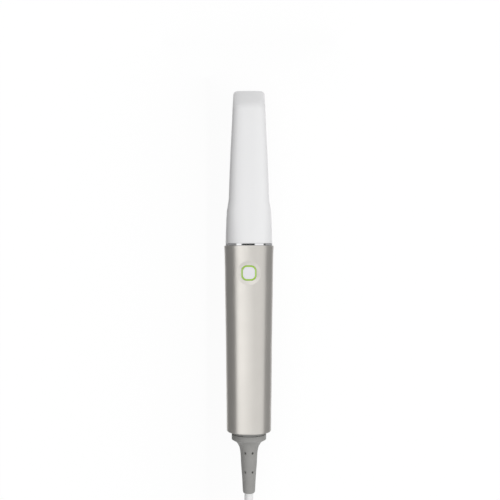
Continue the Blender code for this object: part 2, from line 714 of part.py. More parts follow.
def make_optics():
    """Two cameras and a projector in one carrier, looking along the tip at its mirror."""
    front = TIP_BASE_Y + OPTICS_FRONT
    carrier_y = front - CARRIER_FROM_FRONT
    near, far = (y - TIP_BASE_Y for y in (carrier_y, carrier_y - CARRIER_THICKNESS))
    size = grown(nose_size(near, NOSE_WALL), -SEAT)
    rings = [oval(size, tip_power(near), y) for y in (far, near)]
    carrier = loft("optics_carrier", rings, ALUMINIUM, (0, TIP_BASE_Y, 0))
    barrels = [
        ("projector", 0.0, PROJECTOR_RADIUS, PROJECTOR_LENGTH),
        ("camera_left", -CAMERA_SPREAD, CAMERA_RADIUS, CAMERA_LENGTH),
        ("camera_right", CAMERA_SPREAD, CAMERA_RADIUS, CAMERA_LENGTH),
    ]
    for name, x, radius, length in barrels:
        start, end = (x, front - length, OPTICS_Z), (x, front, OPTICS_Z)
        hole_start = (x, carrier_y - 2 * CARRIER_THICKNESS, OPTICS_Z)
        combine(carrier, rod(name + "_seat", hole_start, end, radius + SCREW_FIT, None))
        bore = radius - LENS_WALL
        seat = LENS_SETBACK + LENS_THICKNESS + SEAT
        profile = [(0, radius), (length, radius), (length, bore - LENS_WALL)]
        profile += [(seat, bore - LENS_WALL), (seat, bore), (0, bore)]
        lathe(name + "_barrel", profile, BLACK, end, SMALL_STEPS)
        lens_front = (x, front - LENS_SETBACK, OPTICS_Z)
        lens_back = (x, front - LENS_SETBACK - LENS_THICKNESS, OPTICS_Z)
        rod(name + "_lens", lens_back, lens_front, bore - SCREW_FIT, GLASS, SMALL_STEPS)
        if name != "projector":
            back = start[1] - SEAT
            low = (x - SENSOR_BOARD_HALF_WIDTH, back - BOARD_THICKNESS)
            high = (x + SENSOR_BOARD_HALF_WIDTH, back)
            low += (OPTICS_Z - SENSOR_BOARD_HALF_HEIGHT,)
            high += (OPTICS_Z + SENSOR_BOARD_HALF_HEIGHT,)
            block(name + "_board", low, high, BOARD_GREEN)
    body_front = front - PROJECTOR_LENGTH - SEAT
    body_back = body_front - PROJECTOR_BODY_LENGTH
    half, tall = PROJECTOR_HALF_WIDTH, PROJECTOR_HALF_HEIGHT
    low_z = FRAME_TOP + SEAT
    top_z = low_z + 2 * tall
    block("projector_body", (-half, body_back, low_z), (half, body_front, top_z), BLACK, 0.0005)
    led_front = body_back - SEAT
    led_back = led_front - BOARD_THICKNESS
    led_top = low_z + 2 * LED_BOARD_HALF
    led_low = (-LED_BOARD_HALF, led_back, low_z)
    block("led_board", led_low, (LED_BOARD_HALF, led_front, led_top), BOARD_GREEN)
    sink_front = led_back - SEAT
    base_back = sink_front - SINK_BASE
    pitch = (2 * half - FIN_THICKNESS) / (SINK_FINS - 1)
    comb = [(half, sink_front), (-half, sink_front)]
    for i in range(SINK_FINS):
        left, right = -half + i * pitch, -half + i * pitch + FIN_THICKNESS
        fin_end = sink_front - SINK_LENGTH
        if i > 0:
            comb.append((left, base_back))
        comb += [(left, fin_end), (right, fin_end)]
        if i < SINK_FINS - 1:
            comb.append((right, base_back))
    loft("heat_sink", [[(x, y, z) for x, y in comb] for z in (low_z, top_z)], ALUMINIUM)


def board_span():
    """Front and back of the main board, and the rows of its screws."""
    front = HANDLE_FRONT_Y - MAIN_BOARD_FROM_FRONT
    back = HANDLE_TAIL_Y + CLAMP_FROM_TAIL + CLAMP_LENGTH + BOARD_FROM_CLAMP
    return front, back, (front - HOLE_FROM_END, back + HOLE_FROM_END)


def make_frame():
    """Long metal plate with posts for the board and a slot for the cable."""
    projector_back = OPTICS_FRONT - PROJECTOR_LENGTH - SEAT - PROJECTOR_BODY_LENGTH
    front = TIP_BASE_Y + projector_back + FRAME_UNDER_PROJECTOR
    back = HANDLE_TAIL_Y + FRAME_FROM_TAIL
    low_z = FRAME_TOP - FRAME_THICKNESS
    half = FRAME_HALF_WIDTH
    frame = block("inner_frame", (-half, back, low_z), (half, front, FRAME_TOP), ALUMINIUM)
    slot_low = (-SLOT_HALF_WIDTH, back - 0.001, low_z - 0.001)
    slot_high = (SLOT_HALF_WIDTH, back + SLOT_LENGTH, FRAME_TOP + 0.001)
    combine(frame, block("cable_slot", slot_low, slot_high, None))
    post_top = FRAME_TOP + POST_HEIGHT
    _, _, rows = board_span()
    for row, y in enumerate(rows):
        for side in (-1, 1):
            x, name = side * POST_SPREAD, f"{row + 1}_{'left' if side < 0 else 'right'}"
            low = (x, y, low_z + FRAME_THICKNESS / 3)
            post = rod("post_" + name, low, (x, y, post_top), POST_RADIUS, None, SMALL_STEPS)
            combine(frame, post, "UNION")
            board_top = post_top + SEAT + BOARD_THICKNESS
            tip = board_top + SEAT - SCREW_LENGTH
            hole = rod(
                "post_hole_" + name,
                (x, y, tip - SEAT),
                (x, y, post_top + 0.001),
                SCREW_RADIUS + SCREW_FIT,
                None,
                SMALL_STEPS,
            )
            combine(frame, hole)
            make_screw("board_screw_" + name, x, y, board_top + SEAT, SCREW_LENGTH)


def make_screw(name, x, y, seat_z, length):
    """Small pan-head screw, head down on its seat, with a hexagon recess."""
    rings = [(seat_z - length, SCREW_RADIUS), (seat_z, SCREW_RADIUS)]
    rings += [(seat_z, SCREW_HEAD_RADIUS), (seat_z + 0.7 * SCREW_HEAD_HEIGHT, SCREW_HEAD_RADIUS)]
    rings.append((seat_z + SCREW_HEAD_HEIGHT, 0.75 * SCREW_HEAD_RADIUS))
    levels = []
    for z, radius in rings:
        ring = []
        for i in range(SMALL_STEPS):
            angle = 2 * math.pi * i / SMALL_STEPS
            ring.append((radius * math.cos(angle), radius * math.sin(angle), z))
        levels.append(ring)
    screw = loft(name, levels, STEEL, (x, y, 0))
    recess_low = (x, y, seat_z + 0.3 * SCREW_HEAD_HEIGHT)
    recess_high = (x, y, seat_z + 2 * SCREW_HEAD_HEIGHT)
    combine(screw, rod(name + "_recess", recess_low, recess_high, 0.45 * SCREW_HEAD_RADIUS, None, 6))


def make_main_board():
    """Main board with its processor, shield can, memory and connector."""
    front, back, rows = board_span()
    low_z = FRAME_TOP + POST_HEIGHT + SEAT
    top_z = low_z + BOARD_THICKNESS
    half = MAIN_BOARD_HALF_WIDTH
    board = block("main_board", (-half, back, low_z), (half, front, top_z), BOARD_GREEN)
    for row, y in enumerate(rows):
        for side in (-1, 1):
            x = side * POST_SPREAD
            name = f"board_hole_{row + 1}_{'left' if side < 0 else 'right'}"
            low, high = (x, y, low_z - 0.001), (x, y, top_z + 0.001)
            combine(board, rod(name, low, high, SCREW_RADIUS + SCREW_FIT, None, SMALL_STEPS))
    chip_z = top_z + SEAT
    connector_front = back + HOLE_FROM_END + SCREW_HEAD_RADIUS + CONNECTOR_GAP + CONNECTOR_LENGTH
    rows = [
        [("processor", 0.0, 0.0060, 0.0060, 0.0015, BLACK)],
        [("shield_can", 0.0, 0.0070, 0.0080, 0.0026, STEEL)],
        [(f"memory_{name}", x, 0.0038, 0.0050, 0.0011, BLACK) for name, x in MEMORY_X.items()],
    ]
    start = front - HOLE_FROM_END - SCREW_HEAD_RADIUS
    taken = sum(2 * row[0][3] for row in rows)
    gap = (start - connector_front - taken) / (len(rows) + 1)
    for row in rows:
        y = start - gap - row[0][3]
        for name, x, half_x, half_y, height, finish in row:
            low, high = (x - half_x, y - half_y, chip_z), (x + half_x, y + half_y, chip_z + height)
            block(name, low, high, finish, 0.0002)
        start = y - row[0][3]
    low = (-POST_SPREAD + SCREW_HEAD_RADIUS + SEAT, connector_front - CONNECTOR_LENGTH, chip_z)
    high = (-low[0], connector_front, chip_z + CONNECTOR_HEIGHT)
    block("board_connector", low, high, WHITE, 0.0003)
    return connector_front - CONNECTOR_LENGTH, chip_z + CONNECTOR_HEIGHT / 2


def make_tail(connector_y, connector_z):
    """End cap, rubber boot, and the cable's inner end in its clamp."""
    share = 1 - CAP_RECESS / HANDLE_LENGTH
    size = grown(handle_size(share * HANDLE_LENGTH), -HANDLE_WALL - SEAT)
    size = (size[0], size[1], HANDLE_WALL + SEAT)
    outer_y = HANDLE_TAIL_Y + CAP_RECESS
    rings = [oval(size, HANDLE_POWER, y) for y in (0, CAP_THICKNESS)]
    cap = loft("rear_cap", rings, BLACK, (0, outer_y, 0))
    hole_low, hole_high = (0, outer_y - 0.001, TAIL_Z), (0, outer_y + 2 * CAP_THICKNESS, TAIL_Z)
    combine(cap, rod("neck_hole", hole_low, hole_high, NECK_RADIUS + SEAT, None))
    bore = CABLE_RADIUS + SEAT
    cap_front = -CAP_RECESS - CAP_THICKNESS
    flange_back = cap_front - SEAT
    collar_start = -CAP_RECESS + SEAT
    profile = [
        (flange_back - INNER_FLANGE_LENGTH, INNER_FLANGE_RADIUS),
        (flange_back, INNER_FLANGE_RADIUS),
        (flange_back, NECK_RADIUS),
        (collar_start, NECK_RADIUS),
        (collar_start, COLLAR_STEP_RADIUS),
        (COLLAR_STEP, COLLAR_STEP_RADIUS),
        (COLLAR_STEP + 0.0003, COLLAR_RADIUS),
        (COLLAR_LENGTH - 0.0004, COLLAR_RADIUS),
    ]
    taper_length = BOOT_LENGTH - COLLAR_LENGTH - BOOT_CHAMFER
    for k in range(BOOT_STEPS + 1):
        share = (k / BOOT_STEPS) ** 1.7
        profile.append((COLLAR_LENGTH + share * taper_length, smooth(BOOT_TAPER, share)))
    profile += [(BOOT_LENGTH, BOOT_END_RADIUS), (BOOT_LENGTH, bore)]
    profile.append((flange_back - INNER_FLANGE_LENGTH, bore))
    boot = lathe("cable_boot", profile, GREY_RUBBER, (0, HANDLE_TAIL_Y, TAIL_Z))
    for row, from_tail in enumerate(DIMPLE_FROM_TAIL):
        skin = smooth(BOOT_TAPER, (from_tail - COLLAR_LENGTH) / taper_length)
        for column, side in enumerate((-1, 1)):
            for face, up in enumerate((-1, 1)):
                out = Vector((side * math.sin(DIMPLE_ANGLE), 0, up * math.cos(DIMPLE_ANGLE)))
                middle = Vector((0, HANDLE_TAIL_Y - from_tail, TAIL_Z))
                inner, outer = middle + out * (skin - DIMPLE_DEPTH), middle + out * (skin + 0.001)
                name = f"dimple_{row}{column}{face}"
                combine(boot, rod(name, inner, outer, DIMPLE_RADIUS, None, 12))
    clamp_back = HANDLE_TAIL_Y + CLAMP_FROM_TAIL
    clamp_front = clamp_back + CLAMP_LENGTH
    low = (-CLAMP_HALF_WIDTH, clamp_back, FRAME_TOP + SEAT)
    high_z = TAIL_Z + CABLE_RADIUS + CLAMP_ABOVE_CABLE
    clamp = block(
        "cable_clamp", low, (CLAMP_HALF_WIDTH, clamp_front, high_z), BLACK, 0.0004
    )
    hole_low, hole_high = (0, clamp_back - 0.001, TAIL_Z), (0, clamp_front + 0.001, TAIL_Z)
    combine(clamp, rod("clamp_bore", hole_low, hole_high, bore, None))
    frame = bpy.data.objects["inner_frame"]
    middle_y = (clamp_back + clamp_front) / 2
    for side, label in ((-1, "left"), (1, "right")):
        x, low_z = side * CLAMP_SCREW_SPREAD, FRAME_TOP - 2 * FRAME_THICKNESS
        ends = (x, middle_y, low_z), (x, middle_y, high_z + 0.001)
        radius = SCREW_RADIUS + SCREW_FIT
        hole = rod("clamp_hole_" + label, *ends, radius, None, SMALL_STEPS)
        combine(clamp, hole)
        combine(frame, hole)
        length = high_z + SEAT - FRAME_TOP + FRAME_THICKNESS
        make_screw("clamp_screw_" + label, x, middle_y, high_z + SEAT, length)
    _, board_back, _ = board_span()
    stub_end = BOOT_END_Y + CABLE_START_IN_BOOT + SEAT
    route = [
        (0, stub_end, TAIL_Z),
        (0, HANDLE_TAIL_Y, TAIL_Z),
        (0, clamp_back, TAIL_Z),
        (0, clamp_front + 0.001, TAIL_Z),
        (0, (clamp_front + board_back) / 2, (TAIL_Z + connector_z) / 2),
        (0, board_back - 0.001, connector_z),
        (0, connector_y - SEAT, connector_z),
    ]
    cord("cable_inner", through(route, 2), CABLE_RADIUS, CABLE_GREY)


def hank_side(along):
    """How far the hank's side is drawn in, a distance from its middle."""
    flat = HANK_LENGTH / 2 - HANK_FOLD_RADIUS - HANK_WAIST_SPREAD
    u = min(max((abs(along) - flat) / HANK_WAIST_SPREAD, 0), 1)
    return HANK_WAIST * (1 - u * u * (3 - 2 * u))


def make_hank(middle_y):
    """Outer form of the folded cable, drawn in at its waist, with a notch for the tie."""
    straight = HANK_LENGTH / 2 - HANK_FOLD_RADIUS
    side = []
    for k in range(17):
        along = straight * (k / 8 - 1)
        side.append((HANK_FOLD_RADIUS - hank_side(along), along))
    for k in range(1, 16):
        angle = math.pi * k / 16
        x, y = HANK_FOLD_RADIUS * math.cos(angle), straight + HANK_FOLD_RADIUS * math.sin(angle)
        side.append((x, y))
    outline = side + [(-x, -y) for x, y in side]
    rings = [[(x, y, z) for x, y in outline] for z in (0, HANK_HEIGHT)]
    hank = loft("cord_hank", rings, CABLE_GREY, (0, middle_y, 0))
    half = TIE_WIDTH / 2 + SEAT
    low = (-HANK_FOLD_RADIUS, middle_y - half, -TIE_NOTCH)
    high = (HANK_FOLD_RADIUS, middle_y + half, TIE_NOTCH)
    combine(hank, block("tie_notch", low, high, None))


def make_tie(middle_y):
    """Strap around the hank's waist and the cable end that lies on it."""
    waist = HANK_FOLD_RADIUS - HANK_WAIST + SEAT
    top = HANK_HEIGHT + SEAT
    peak = top + SEAT + 2 * CABLE_RADIUS
    bottom = TIE_NOTCH - SEAT
    thick = TIE_THICKNESS
    right, left = TAIL_X + CABLE_RADIUS + SEAT, TAIL_X - CABLE_RADIUS - SEAT
    inner = [(waist, bottom), (waist, top), (right, peak), (left, peak)]
    inner += [(left - HUMP_RUN, top), (-waist, top), (-waist, bottom)]
    outer = [(waist + thick, bottom - thick), (waist + thick, top + thick / 2)]
    outer += [(right + thick / 2, peak + thick), (left - thick / 2, peak + thick)]
    outer += [(left - thick / 2 - HUMP_RUN, top + thick), (-waist - thick, top + thick)]
    outer.append((-waist - thick, bottom - thick))
    half = TIE_WIDTH / 2
    rings = [[(x, y, z) for x, z in outer] for y in (-half, half)]
    tie = loft("cord_tie", rings, SEAL_BLACK, (0, middle_y, 0))
    rings = [[(x, y, z) for x, z in inner] for y in (-2 * half, 2 * half)]
    combine(tie, loft("tie_bore", rings, None, (0, middle_y, 0)))


def make_plug(tail_z, tie_y):
    """Moulded plug with its metal shell, lying on the hank's far fold."""
    relief_y = tie_y - TIE_WIDTH / 2 - PLUG_FROM_TIE
    body_y = relief_y - RELIEF_LENGTH - SEAT
    bore = CABLE_RADIUS + SEAT
    deep = RELIEF_LENGTH / 2
    slim, wide = bore + RELIEF_WALL, 0.95 * PLUG_HALF_HEIGHT
    profile = [(0, slim)]
    pitch = RELIEF_LENGTH / (RELIEF_GROOVES + 1)
    for k in range(1, RELIEF_GROOVES + 1):
        at = k * pitch
        skin = slim + (wide - slim) * at / RELIEF_LENGTH
        half = pitch / 4
        profile += [(at - half, skin), (at - half, skin - GROOVE_DEPTH)]
        profile += [(at + half, skin - GROOVE_DEPTH), (at + half, skin)]
    profile += [(RELIEF_LENGTH, wide), (RELIEF_LENGTH, 0.001)]
    profile += [(deep, 0.001), (deep, bore), (0, bore)]
    lathe("plug_relief", profile, BLACK, (PLUG_X, relief_y, tail_z), RELIEF_STEPS)
    edge = 0.0008
    plug_back = body_y - PLUG_LENGTH
    levels = [
        (0, PLUG_HALF_WIDTH - edge, PLUG_HALF_HEIGHT - edge / 2, 0.0028),
        (-edge, PLUG_HALF_WIDTH, PLUG_HALF_HEIGHT, 0.0028),
        (-PLUG_LENGTH + edge, PLUG_HALF_WIDTH, PLUG_HALF_HEIGHT, 0.0028),
        (-PLUG_LENGTH, PLUG_HALF_WIDTH - edge, PLUG_HALF_HEIGHT - edge / 2, 0.0028),
    ]
    lying("plug_body", levels, BLACK, (PLUG_X, body_y, tail_z))
    shell_y = plug_back - SEAT
    half_x, half_z = SHELL_HALF_WIDTH, SHELL_HALF_HEIGHT
    levels = [(y, half_x, half_z, 0.0005) for y in (0, -SHELL_LENGTH)]
    shell = lying("plug_shell", levels, STEEL, (PLUG_X, shell_y, tail_z))
    half_x, half_z = half_x - SHELL_WALL, half_z - SHELL_WALL
    levels = [(y, half_x, half_z, 0.0003) for y in (-SHELL_WALL, -2 * SHELL_LENGTH)]
    combine(shell, lying("plug_mouth", levels, None, (PLUG_X, shell_y, tail_z)))
    window_y = shell_y - SHELL_LENGTH + SHELL_WINDOW_FROM_MOUTH
    half = SHELL_WINDOW_HALF
    for label, x in (("left", PLUG_X - SHELL_WINDOW_X), ("right", PLUG_X + SHELL_WINDOW_X)):
        low = (x - half, window_y - half, tail_z - 2 * SHELL_HALF_HEIGHT)
        high = (x + half, window_y + half, tail_z + 2 * SHELL_HALF_HEIGHT)
        combine(shell, block("shell_window_" + label, low, high, None))
    tongue_top = tail_z + half_z - SEAT
    reach = half_x - SEAT
    low = (PLUG_X - reach, shell_y - 0.9 * SHELL_LENGTH, tongue_top - TONGUE_THICKNESS)
    high = (PLUG_X + reach, shell_y - SHELL_WALL - SEAT, tongue_top)
    block("plug_tongue", low, high, BLACK)
    return relief_y


def make_cord():
    """Cable from the boot down to the surface, its hank, and its end on top of the hank."""
    hank_near = BOOT_END_Y - HANK_GAP
    middle_y = hank_near - HANK_LENGTH / 2
    make_hank(middle_y)
    make_tie(middle_y)
    top_z = HANK_HEIGHT + SEAT + CABLE_RADIUS
    relief_y = make_plug(HANK_HEIGHT + SEAT + PLUG_HALF_HEIGHT, middle_y)
    start = BOOT_END_Y + CABLE_START_IN_BOOT
    lead = [
        (0, start, TAIL_Z),
        (0, BOOT_END_Y, TAIL_Z),
        (0, BOOT_END_Y - 0.0125, TAIL_Z - 0.0006),
        (0.0035, BOOT_END_Y - 0.0270, 0.0090),
        (0.0098, BOOT_END_Y - 0.0400, 0.0038),
        (0.0160, BOOT_END_Y - 0.0482, CABLE_RADIUS + 0.0002),
    ]
    cord("cord_lead", through(lead, 3), CABLE_RADIUS, CABLE_GREY)
    groove = HANK_FOLD_RADIUS - 2 * CABLE_RADIUS
    straight = HANK_LENGTH / 2 - HANK_FOLD_RADIUS
    tail = []
    for share in (1, 0.75, 0.5, 0.25, 0, -0.25):
        along = share * straight
        tail.append((groove - hank_side(along), middle_y + along, top_z))
    plug_z = HANK_HEIGHT + SEAT + PLUG_HALF_HEIGHT
    tail += [(PLUG_X, relief_y + 0.0025, plug_z), (PLUG_X, relief_y, plug_z)]
    tail.append((PLUG_X, relief_y - RELIEF_LENGTH / 2 + SEAT, plug_z))
    cord("cord_tail", through(tail, 2), CABLE_RADIUS, CABLE_GREY)


CROWN_Z = handle_surface(0, BUTTON_FROM_FRONT)
BUTTON_AXIS = bpy.data.objects.new("button_axis", None)
BUTTON_AXIS.location = (0, BUTTON_Y, CROWN_Z)
TIP_AXIS = bpy.data.objects.new("tip_axis", None)
TIP_AXIS.location = (0, TIP_BASE_Y, 0)
for axis in (BUTTON_AXIS, TIP_AXIS):
    SCANNER.objects.link(axis)
bpy.context.view_layer.update()

make_handle()
make_trim()
make_tip()
make_mirror()
make_nose()
make_button()
make_optics()
make_frame()
make_tail(*make_main_board())
make_cord()
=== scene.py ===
# %% [markdown]
# # Intraoral scanner
# A dentist's hand-held wand: a white removable tip, a bright ring, a satin metal handle with a lit
# push button, a rubber boot and a cable. The photograph shows it from straight above, and the cable
# leaves its frame. This lesson dresses the part's plain solids with finer surfaces, finishes and a
# studio. Lengths are in metres. The wand lies along Y with its tip towards +Y, button up (+Z).

# %% Intraoral scanner
import json
import math

import bmesh
import bpy
import numpy as np
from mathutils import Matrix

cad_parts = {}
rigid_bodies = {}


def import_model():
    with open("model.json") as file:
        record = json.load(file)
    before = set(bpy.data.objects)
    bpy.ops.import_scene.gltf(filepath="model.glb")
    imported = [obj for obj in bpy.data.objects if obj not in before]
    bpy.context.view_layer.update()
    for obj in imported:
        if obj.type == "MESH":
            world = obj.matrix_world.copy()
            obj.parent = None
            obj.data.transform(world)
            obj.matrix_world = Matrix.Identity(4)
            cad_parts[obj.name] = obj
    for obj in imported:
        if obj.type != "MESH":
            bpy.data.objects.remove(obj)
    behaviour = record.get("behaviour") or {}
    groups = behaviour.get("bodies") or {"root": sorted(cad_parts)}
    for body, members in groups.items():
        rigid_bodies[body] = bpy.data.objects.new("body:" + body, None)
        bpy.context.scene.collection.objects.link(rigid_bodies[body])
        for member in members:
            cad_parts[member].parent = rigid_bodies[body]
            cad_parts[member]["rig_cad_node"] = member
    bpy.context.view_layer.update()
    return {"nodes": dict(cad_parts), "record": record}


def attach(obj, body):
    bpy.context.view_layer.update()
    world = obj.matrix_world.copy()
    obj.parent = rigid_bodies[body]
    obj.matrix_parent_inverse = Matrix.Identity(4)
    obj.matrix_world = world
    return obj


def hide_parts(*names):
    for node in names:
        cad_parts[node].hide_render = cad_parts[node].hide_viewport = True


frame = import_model()
nodes = frame["nodes"]
print(len(nodes), "solids to dress")

# %% [markdown]
# ## Lengths along the wand
# Every surface has to lie on its solid, so this script uses the same named values as the part's source.
# A few are drawn finer than on the solids: the button's outline, the dish, the boot's dimples, the
# seams, and the sleeve's side walls. They differ by less than a millimetre and stay in the solids' box.
# One could measure the solids instead, but named values can be read, and follow when a size changes.

# %% Lengths along the wand
SEAT, SLIDE = 0.0003, 0.0004  # gaps: round a seated piece, and round one that slides
SEAM = 0.8 * SEAT  # how far the shells reach into their seats, so that the joints look tight
TIP_LENGTH, TRIM_LENGTH, HANDLE_LENGTH, BOOT_LENGTH = 0.1011, 0.0014, 0.1221, 0.0416
TIP_BASE_Y = (TIP_LENGTH + TRIM_LENGTH + 2 * SEAT + HANDLE_LENGTH + BOOT_LENGTH) / 2 - TIP_LENGTH
HANDLE_FRONT_Y = TIP_BASE_Y - TRIM_LENGTH - 2 * SEAT
HANDLE_TAIL_Y = HANDLE_FRONT_Y - HANDLE_LENGTH
BOOT_END_Y = HANDLE_TAIL_Y - BOOT_LENGTH
print("wand from", round(BOOT_END_Y, 4), "to", round(TIP_BASE_Y + TIP_LENGTH, 4), "m along Y")

# %% [markdown]
# ## Soft curves
# Moulded shells have no straight tapers: their widths swell and thin in long calm curves. Straight
# lines between measured widths would show as kinks, and a plain cubic spline can bulge past them. The
# curve below passes through every measured value and never overshoots. `ease` is the shorter tool, for
# one soft change from 0 to 1.


# %% Soft curves
def smooth(stations, share):
    """Heights on a curve through the stations.

    Between two stations it is a cubic whose end slopes are the harmonic mean of the neighbouring
    secants, or zero where those change sign, so the curve never overshoots.
    """
    x, y = np.array(stations, float).T
    share = np.clip(share, x[0], x[-1])
    secant = np.diff(y) / np.diff(x)
    before, after = secant[:-1], secant[1:]
    total = np.where(before + after == 0, 1, before + after)
    inner = np.where(before * after > 0, 2 * before * after / total, 0)
    slope = np.concatenate([[secant[0]], inner, [secant[-1]]])
    k = np.clip(np.searchsorted(x, share) - 1, 0, len(x) - 2)
    run = x[k + 1] - x[k]
    u = (share - x[k]) / run
    level = y[k] + (y[k + 1] - y[k]) * (3 * u**2 - 2 * u**3)
    return level + run * (slope[k] * (u**3 - 2 * u**2 + u) + slope[k + 1] * (u**3 - u**2))


def ease(u):
    """Smooth step: 3u^2 - 2u^3 between 0 and 1."""
    u = np.clip(u, 0, 1)
    return u * u * (3 - 2 * u)


print("halfway through an ease:", ease(0.5))

# %% [markdown]
# ## Camera
# The photograph looks straight down at the wand, tip up. A Blender camera looks down -Z until it is
# turned, so this one only needs a place. A long lens from far off would hide how the wand's sides
# narrow away from the eye, so its distance was chosen to give the photograph's outline.

# %% Camera
CAMERA_AT, CAMERA_LENS, CAMERA_SENSOR, CAMERA_NEAR = (0.0007, 0.0277, 0.5688), 60.0, 36.0, 0.01
lens = bpy.data.cameras.new("camera")
lens.lens, lens.sensor_width, lens.clip_start = CAMERA_LENS, CAMERA_SENSOR, CAMERA_NEAR
camera = bpy.data.objects.new("camera", lens)
camera.location = CAMERA_AT
bpy.context.scene.collection.objects.link(camera)
bpy.context.scene.camera = camera
print("camera", CAMERA_AT[2], "m above the floor")

# %% [markdown]
# ## From points to a piece
# Each new piece is a grid of points from numpy, handed to Blender in one go. Modelling operators could
# do it too, but a formula can be read, checked and changed. `add_mesh` also says which body the piece
# moves with and which plain solids it stands in front of.

# %% From points to a piece
SHARP_FROM = math.radians(38)  # edges that turn more than this stay crisp


def add_mesh(name, points, faces, body, replaces=()):
    """One smooth-shaded mesh from numpy points and faces, riding on a body, in place of CAD nodes."""
    mesh = bpy.data.meshes.new(name)
    mesh.from_pydata(np.asarray(points, float).tolist(), [], faces)
    mesh.validate()
    mesh.update()
    mesh.shade_smooth()
    mesh.set_sharp_from_angle(angle=SHARP_FROM)
    made = bpy.data.objects.new(name, mesh)
    bpy.context.scene.collection.objects.link(made)
    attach(made, body)
    if replaces:
        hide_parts(*replaces)
    return made


def tell(piece):
    """Print a piece's name and size."""
    print(piece.name, len(piece.data.polygons), "faces")


def grid_faces(rows, columns, closed=True, start=0):
    """Quads of a grid of points, row by row, joined round each row where it is closed."""
    r, c = np.meshgrid(np.arange(rows - 1), np.arange(columns if closed else columns - 1), indexing="ij")
    here = start + r * columns + c
    over = start + r * columns + (c + 1) % columns
    return np.stack([here, over, over + columns, here + columns], axis=-1).reshape(-1, 4)


print("a grid of 3 by 4 points closed round each row has", len(grid_faces(3, 4)), "quads")

# %% [markdown]
# ## Lines in space
# A cable is one line with a round section. Blender's curve objects can bevel a line, but the export
# needs a mesh, and here the line's length has to be known exactly. So the line is points: `through`
# rounds it between chosen places, `even` spaces it, `relax` takes the last kinks out, and `tube`
# carries a circle along it without twist.


# %% Lines in space
def through(points, steps):
    """Points on one smooth curve through chosen ones, each with a tangent from its neighbours."""
    points = np.asarray(points, float)
    before = np.vstack([points[:1], points[:-2]])
    after = np.vstack([points[2:], points[-1:]])
    a, b = points[:-1], points[1:]
    found = []
    for u in np.arange(steps) / steps:
        found.append(
            0.5 * (2 * a + (b - before) * u + (2 * before - 5 * a + 4 * b - after) * u**2)
            + 0.5 * (3 * a - before - 3 * b + after) * u**3
        )
    return np.vstack([np.stack(found, axis=1).reshape(-1, 3), points[-1:]])


def even(path, spacing):
    """The same line with evenly spaced points."""
    path = np.asarray(path, float)
    run = np.concatenate([[0], np.cumsum(np.linalg.norm(np.diff(path, axis=0), axis=1))])
    count = max(int(round(run[-1] / spacing)), 2)
    at = np.linspace(0, run[-1], count + 1)
    return np.stack([np.interp(at, run, path[:, k]) for k in range(3)], axis=1)


def relax(path, rounds):
    """A line softened by averaging each inner point with its neighbours, its ends held."""
    path = path.copy()
    for _ in range(rounds):
        path[1:-1] = 0.5 * path[1:-1] + 0.25 * (path[:-2] + path[2:])
    return path


print("a line through 3 places in 8 steps has", len(through([(0, 0, 0), (1, 0, 0), (1, 1, 0)], 8)), "points")

# %% A round tube along a line
def tube(path, radius, sides):
    """Points and faces of a round tube: circles across a path, carried along it without twist."""
    path = np.asarray(path, float)
    along = np.gradient(path, axis=0)
    along /= np.linalg.norm(along, axis=1)[:, None]
    side = np.cross(along[0], (0, 0, 1))
    sides_at = []
    for step in along:
        side = side - step * np.dot(side, step)
        side /= np.linalg.norm(side)
        sides_at.append(side)
    sides_at = np.array(sides_at)
    up = np.cross(sides_at, along)
    angle = 2 * math.pi * np.arange(sides) / sides
    radius = np.broadcast_to(radius, len(path))[:, None, None]
    rings = path[:, None] + radius * (
        np.cos(angle)[None, :, None] * sides_at[:, None] + np.sin(angle)[None, :, None] * up[:, None]
    )
    faces = grid_faces(len(path), sides).tolist()
    last = (len(path) - 1) * sides
    faces += [list(range(sides))[::-1], list(range(last, last + sides))]
    return rings.reshape(-1, 3), faces


print("a tube of 2 rings with 6 sides has", len(tube([(0, 0, 0), (1, 0, 0)], 0.1, 6)[1]), "faces")

# %% [markdown]
# ## Cable
# The cable is a long soft cord. The photograph shows only its start, so the rest is put away behind
# the wand: six turns, two beside each other in three layers, as one folds a cable round a hand. A rope
# simulation could settle it, but takes long and is hard to steer. The turns are drawn instead:
# straight runs with a drawn-in waist where the strap holds them, and half circles at the ends. At the
# near fold each turn moves over to the next place by an ease.

# %% Cable
CABLE_RADIUS = 0.0029
HANDLE_TAIL_TOP = 0.0303
TAIL_Z = HANDLE_TAIL_TOP / 2  # height of the cable's middle where it leaves the handle
HANK_GAP, HANK_LENGTH, HANK_FOLD_RADIUS, HANK_HEIGHT = 0.0470, 0.1200, 0.0261, 0.0186
HANK_WAIST, HANK_WAIST_SPREAD = 0.0070, 0.0270
HANK_MIDDLE_Y = BOOT_END_Y - HANK_GAP - HANK_LENGTH / 2
HANK_STRAIGHT = HANK_LENGTH / 2 - HANK_FOLD_RADIUS
TIE_WIDTH, PLUG_FROM_TIE, PLUG_X, PLUG_HALF_HEIGHT = 0.0100, 0.0160, 0.0170, 0.0040
RELIEF_LENGTH = 0.0100
RELIEF_Y = HANK_MIDDLE_Y - TIE_WIDTH / 2 - PLUG_FROM_TIE
PLUG_Z = HANK_HEIGHT + SEAT + PLUG_HALF_HEIGHT
LAYERS = 3
TURN_RADII = (HANK_FOLD_RADIUS - CABLE_RADIUS, HANK_FOLD_RADIUS - 3 * CABLE_RADIUS)
LAYER_Z, LAYER_PITCH = 0.0030, 0.0063  # loosely stacked away from the strap
WAIST_Z, WAIST_PITCH = 0.0040, 0.00585  # pressed together on the strap
SHIFT_SHARE = 0.5  # of the fold, in which one turn moves to its next place
HOLD_SPREAD = 0.014  # how far from the strap its grip is felt
POINT_SPACING, RELAX_ROUNDS, CABLE_SIDES = 0.002, 6, 20
RUN_POINTS, FOLD_POINTS = 30, 33  # along a straight run and round a fold
END_POINTS, END_BEYOND = 22, 0.25  # the last run goes past the middle by this share of a run
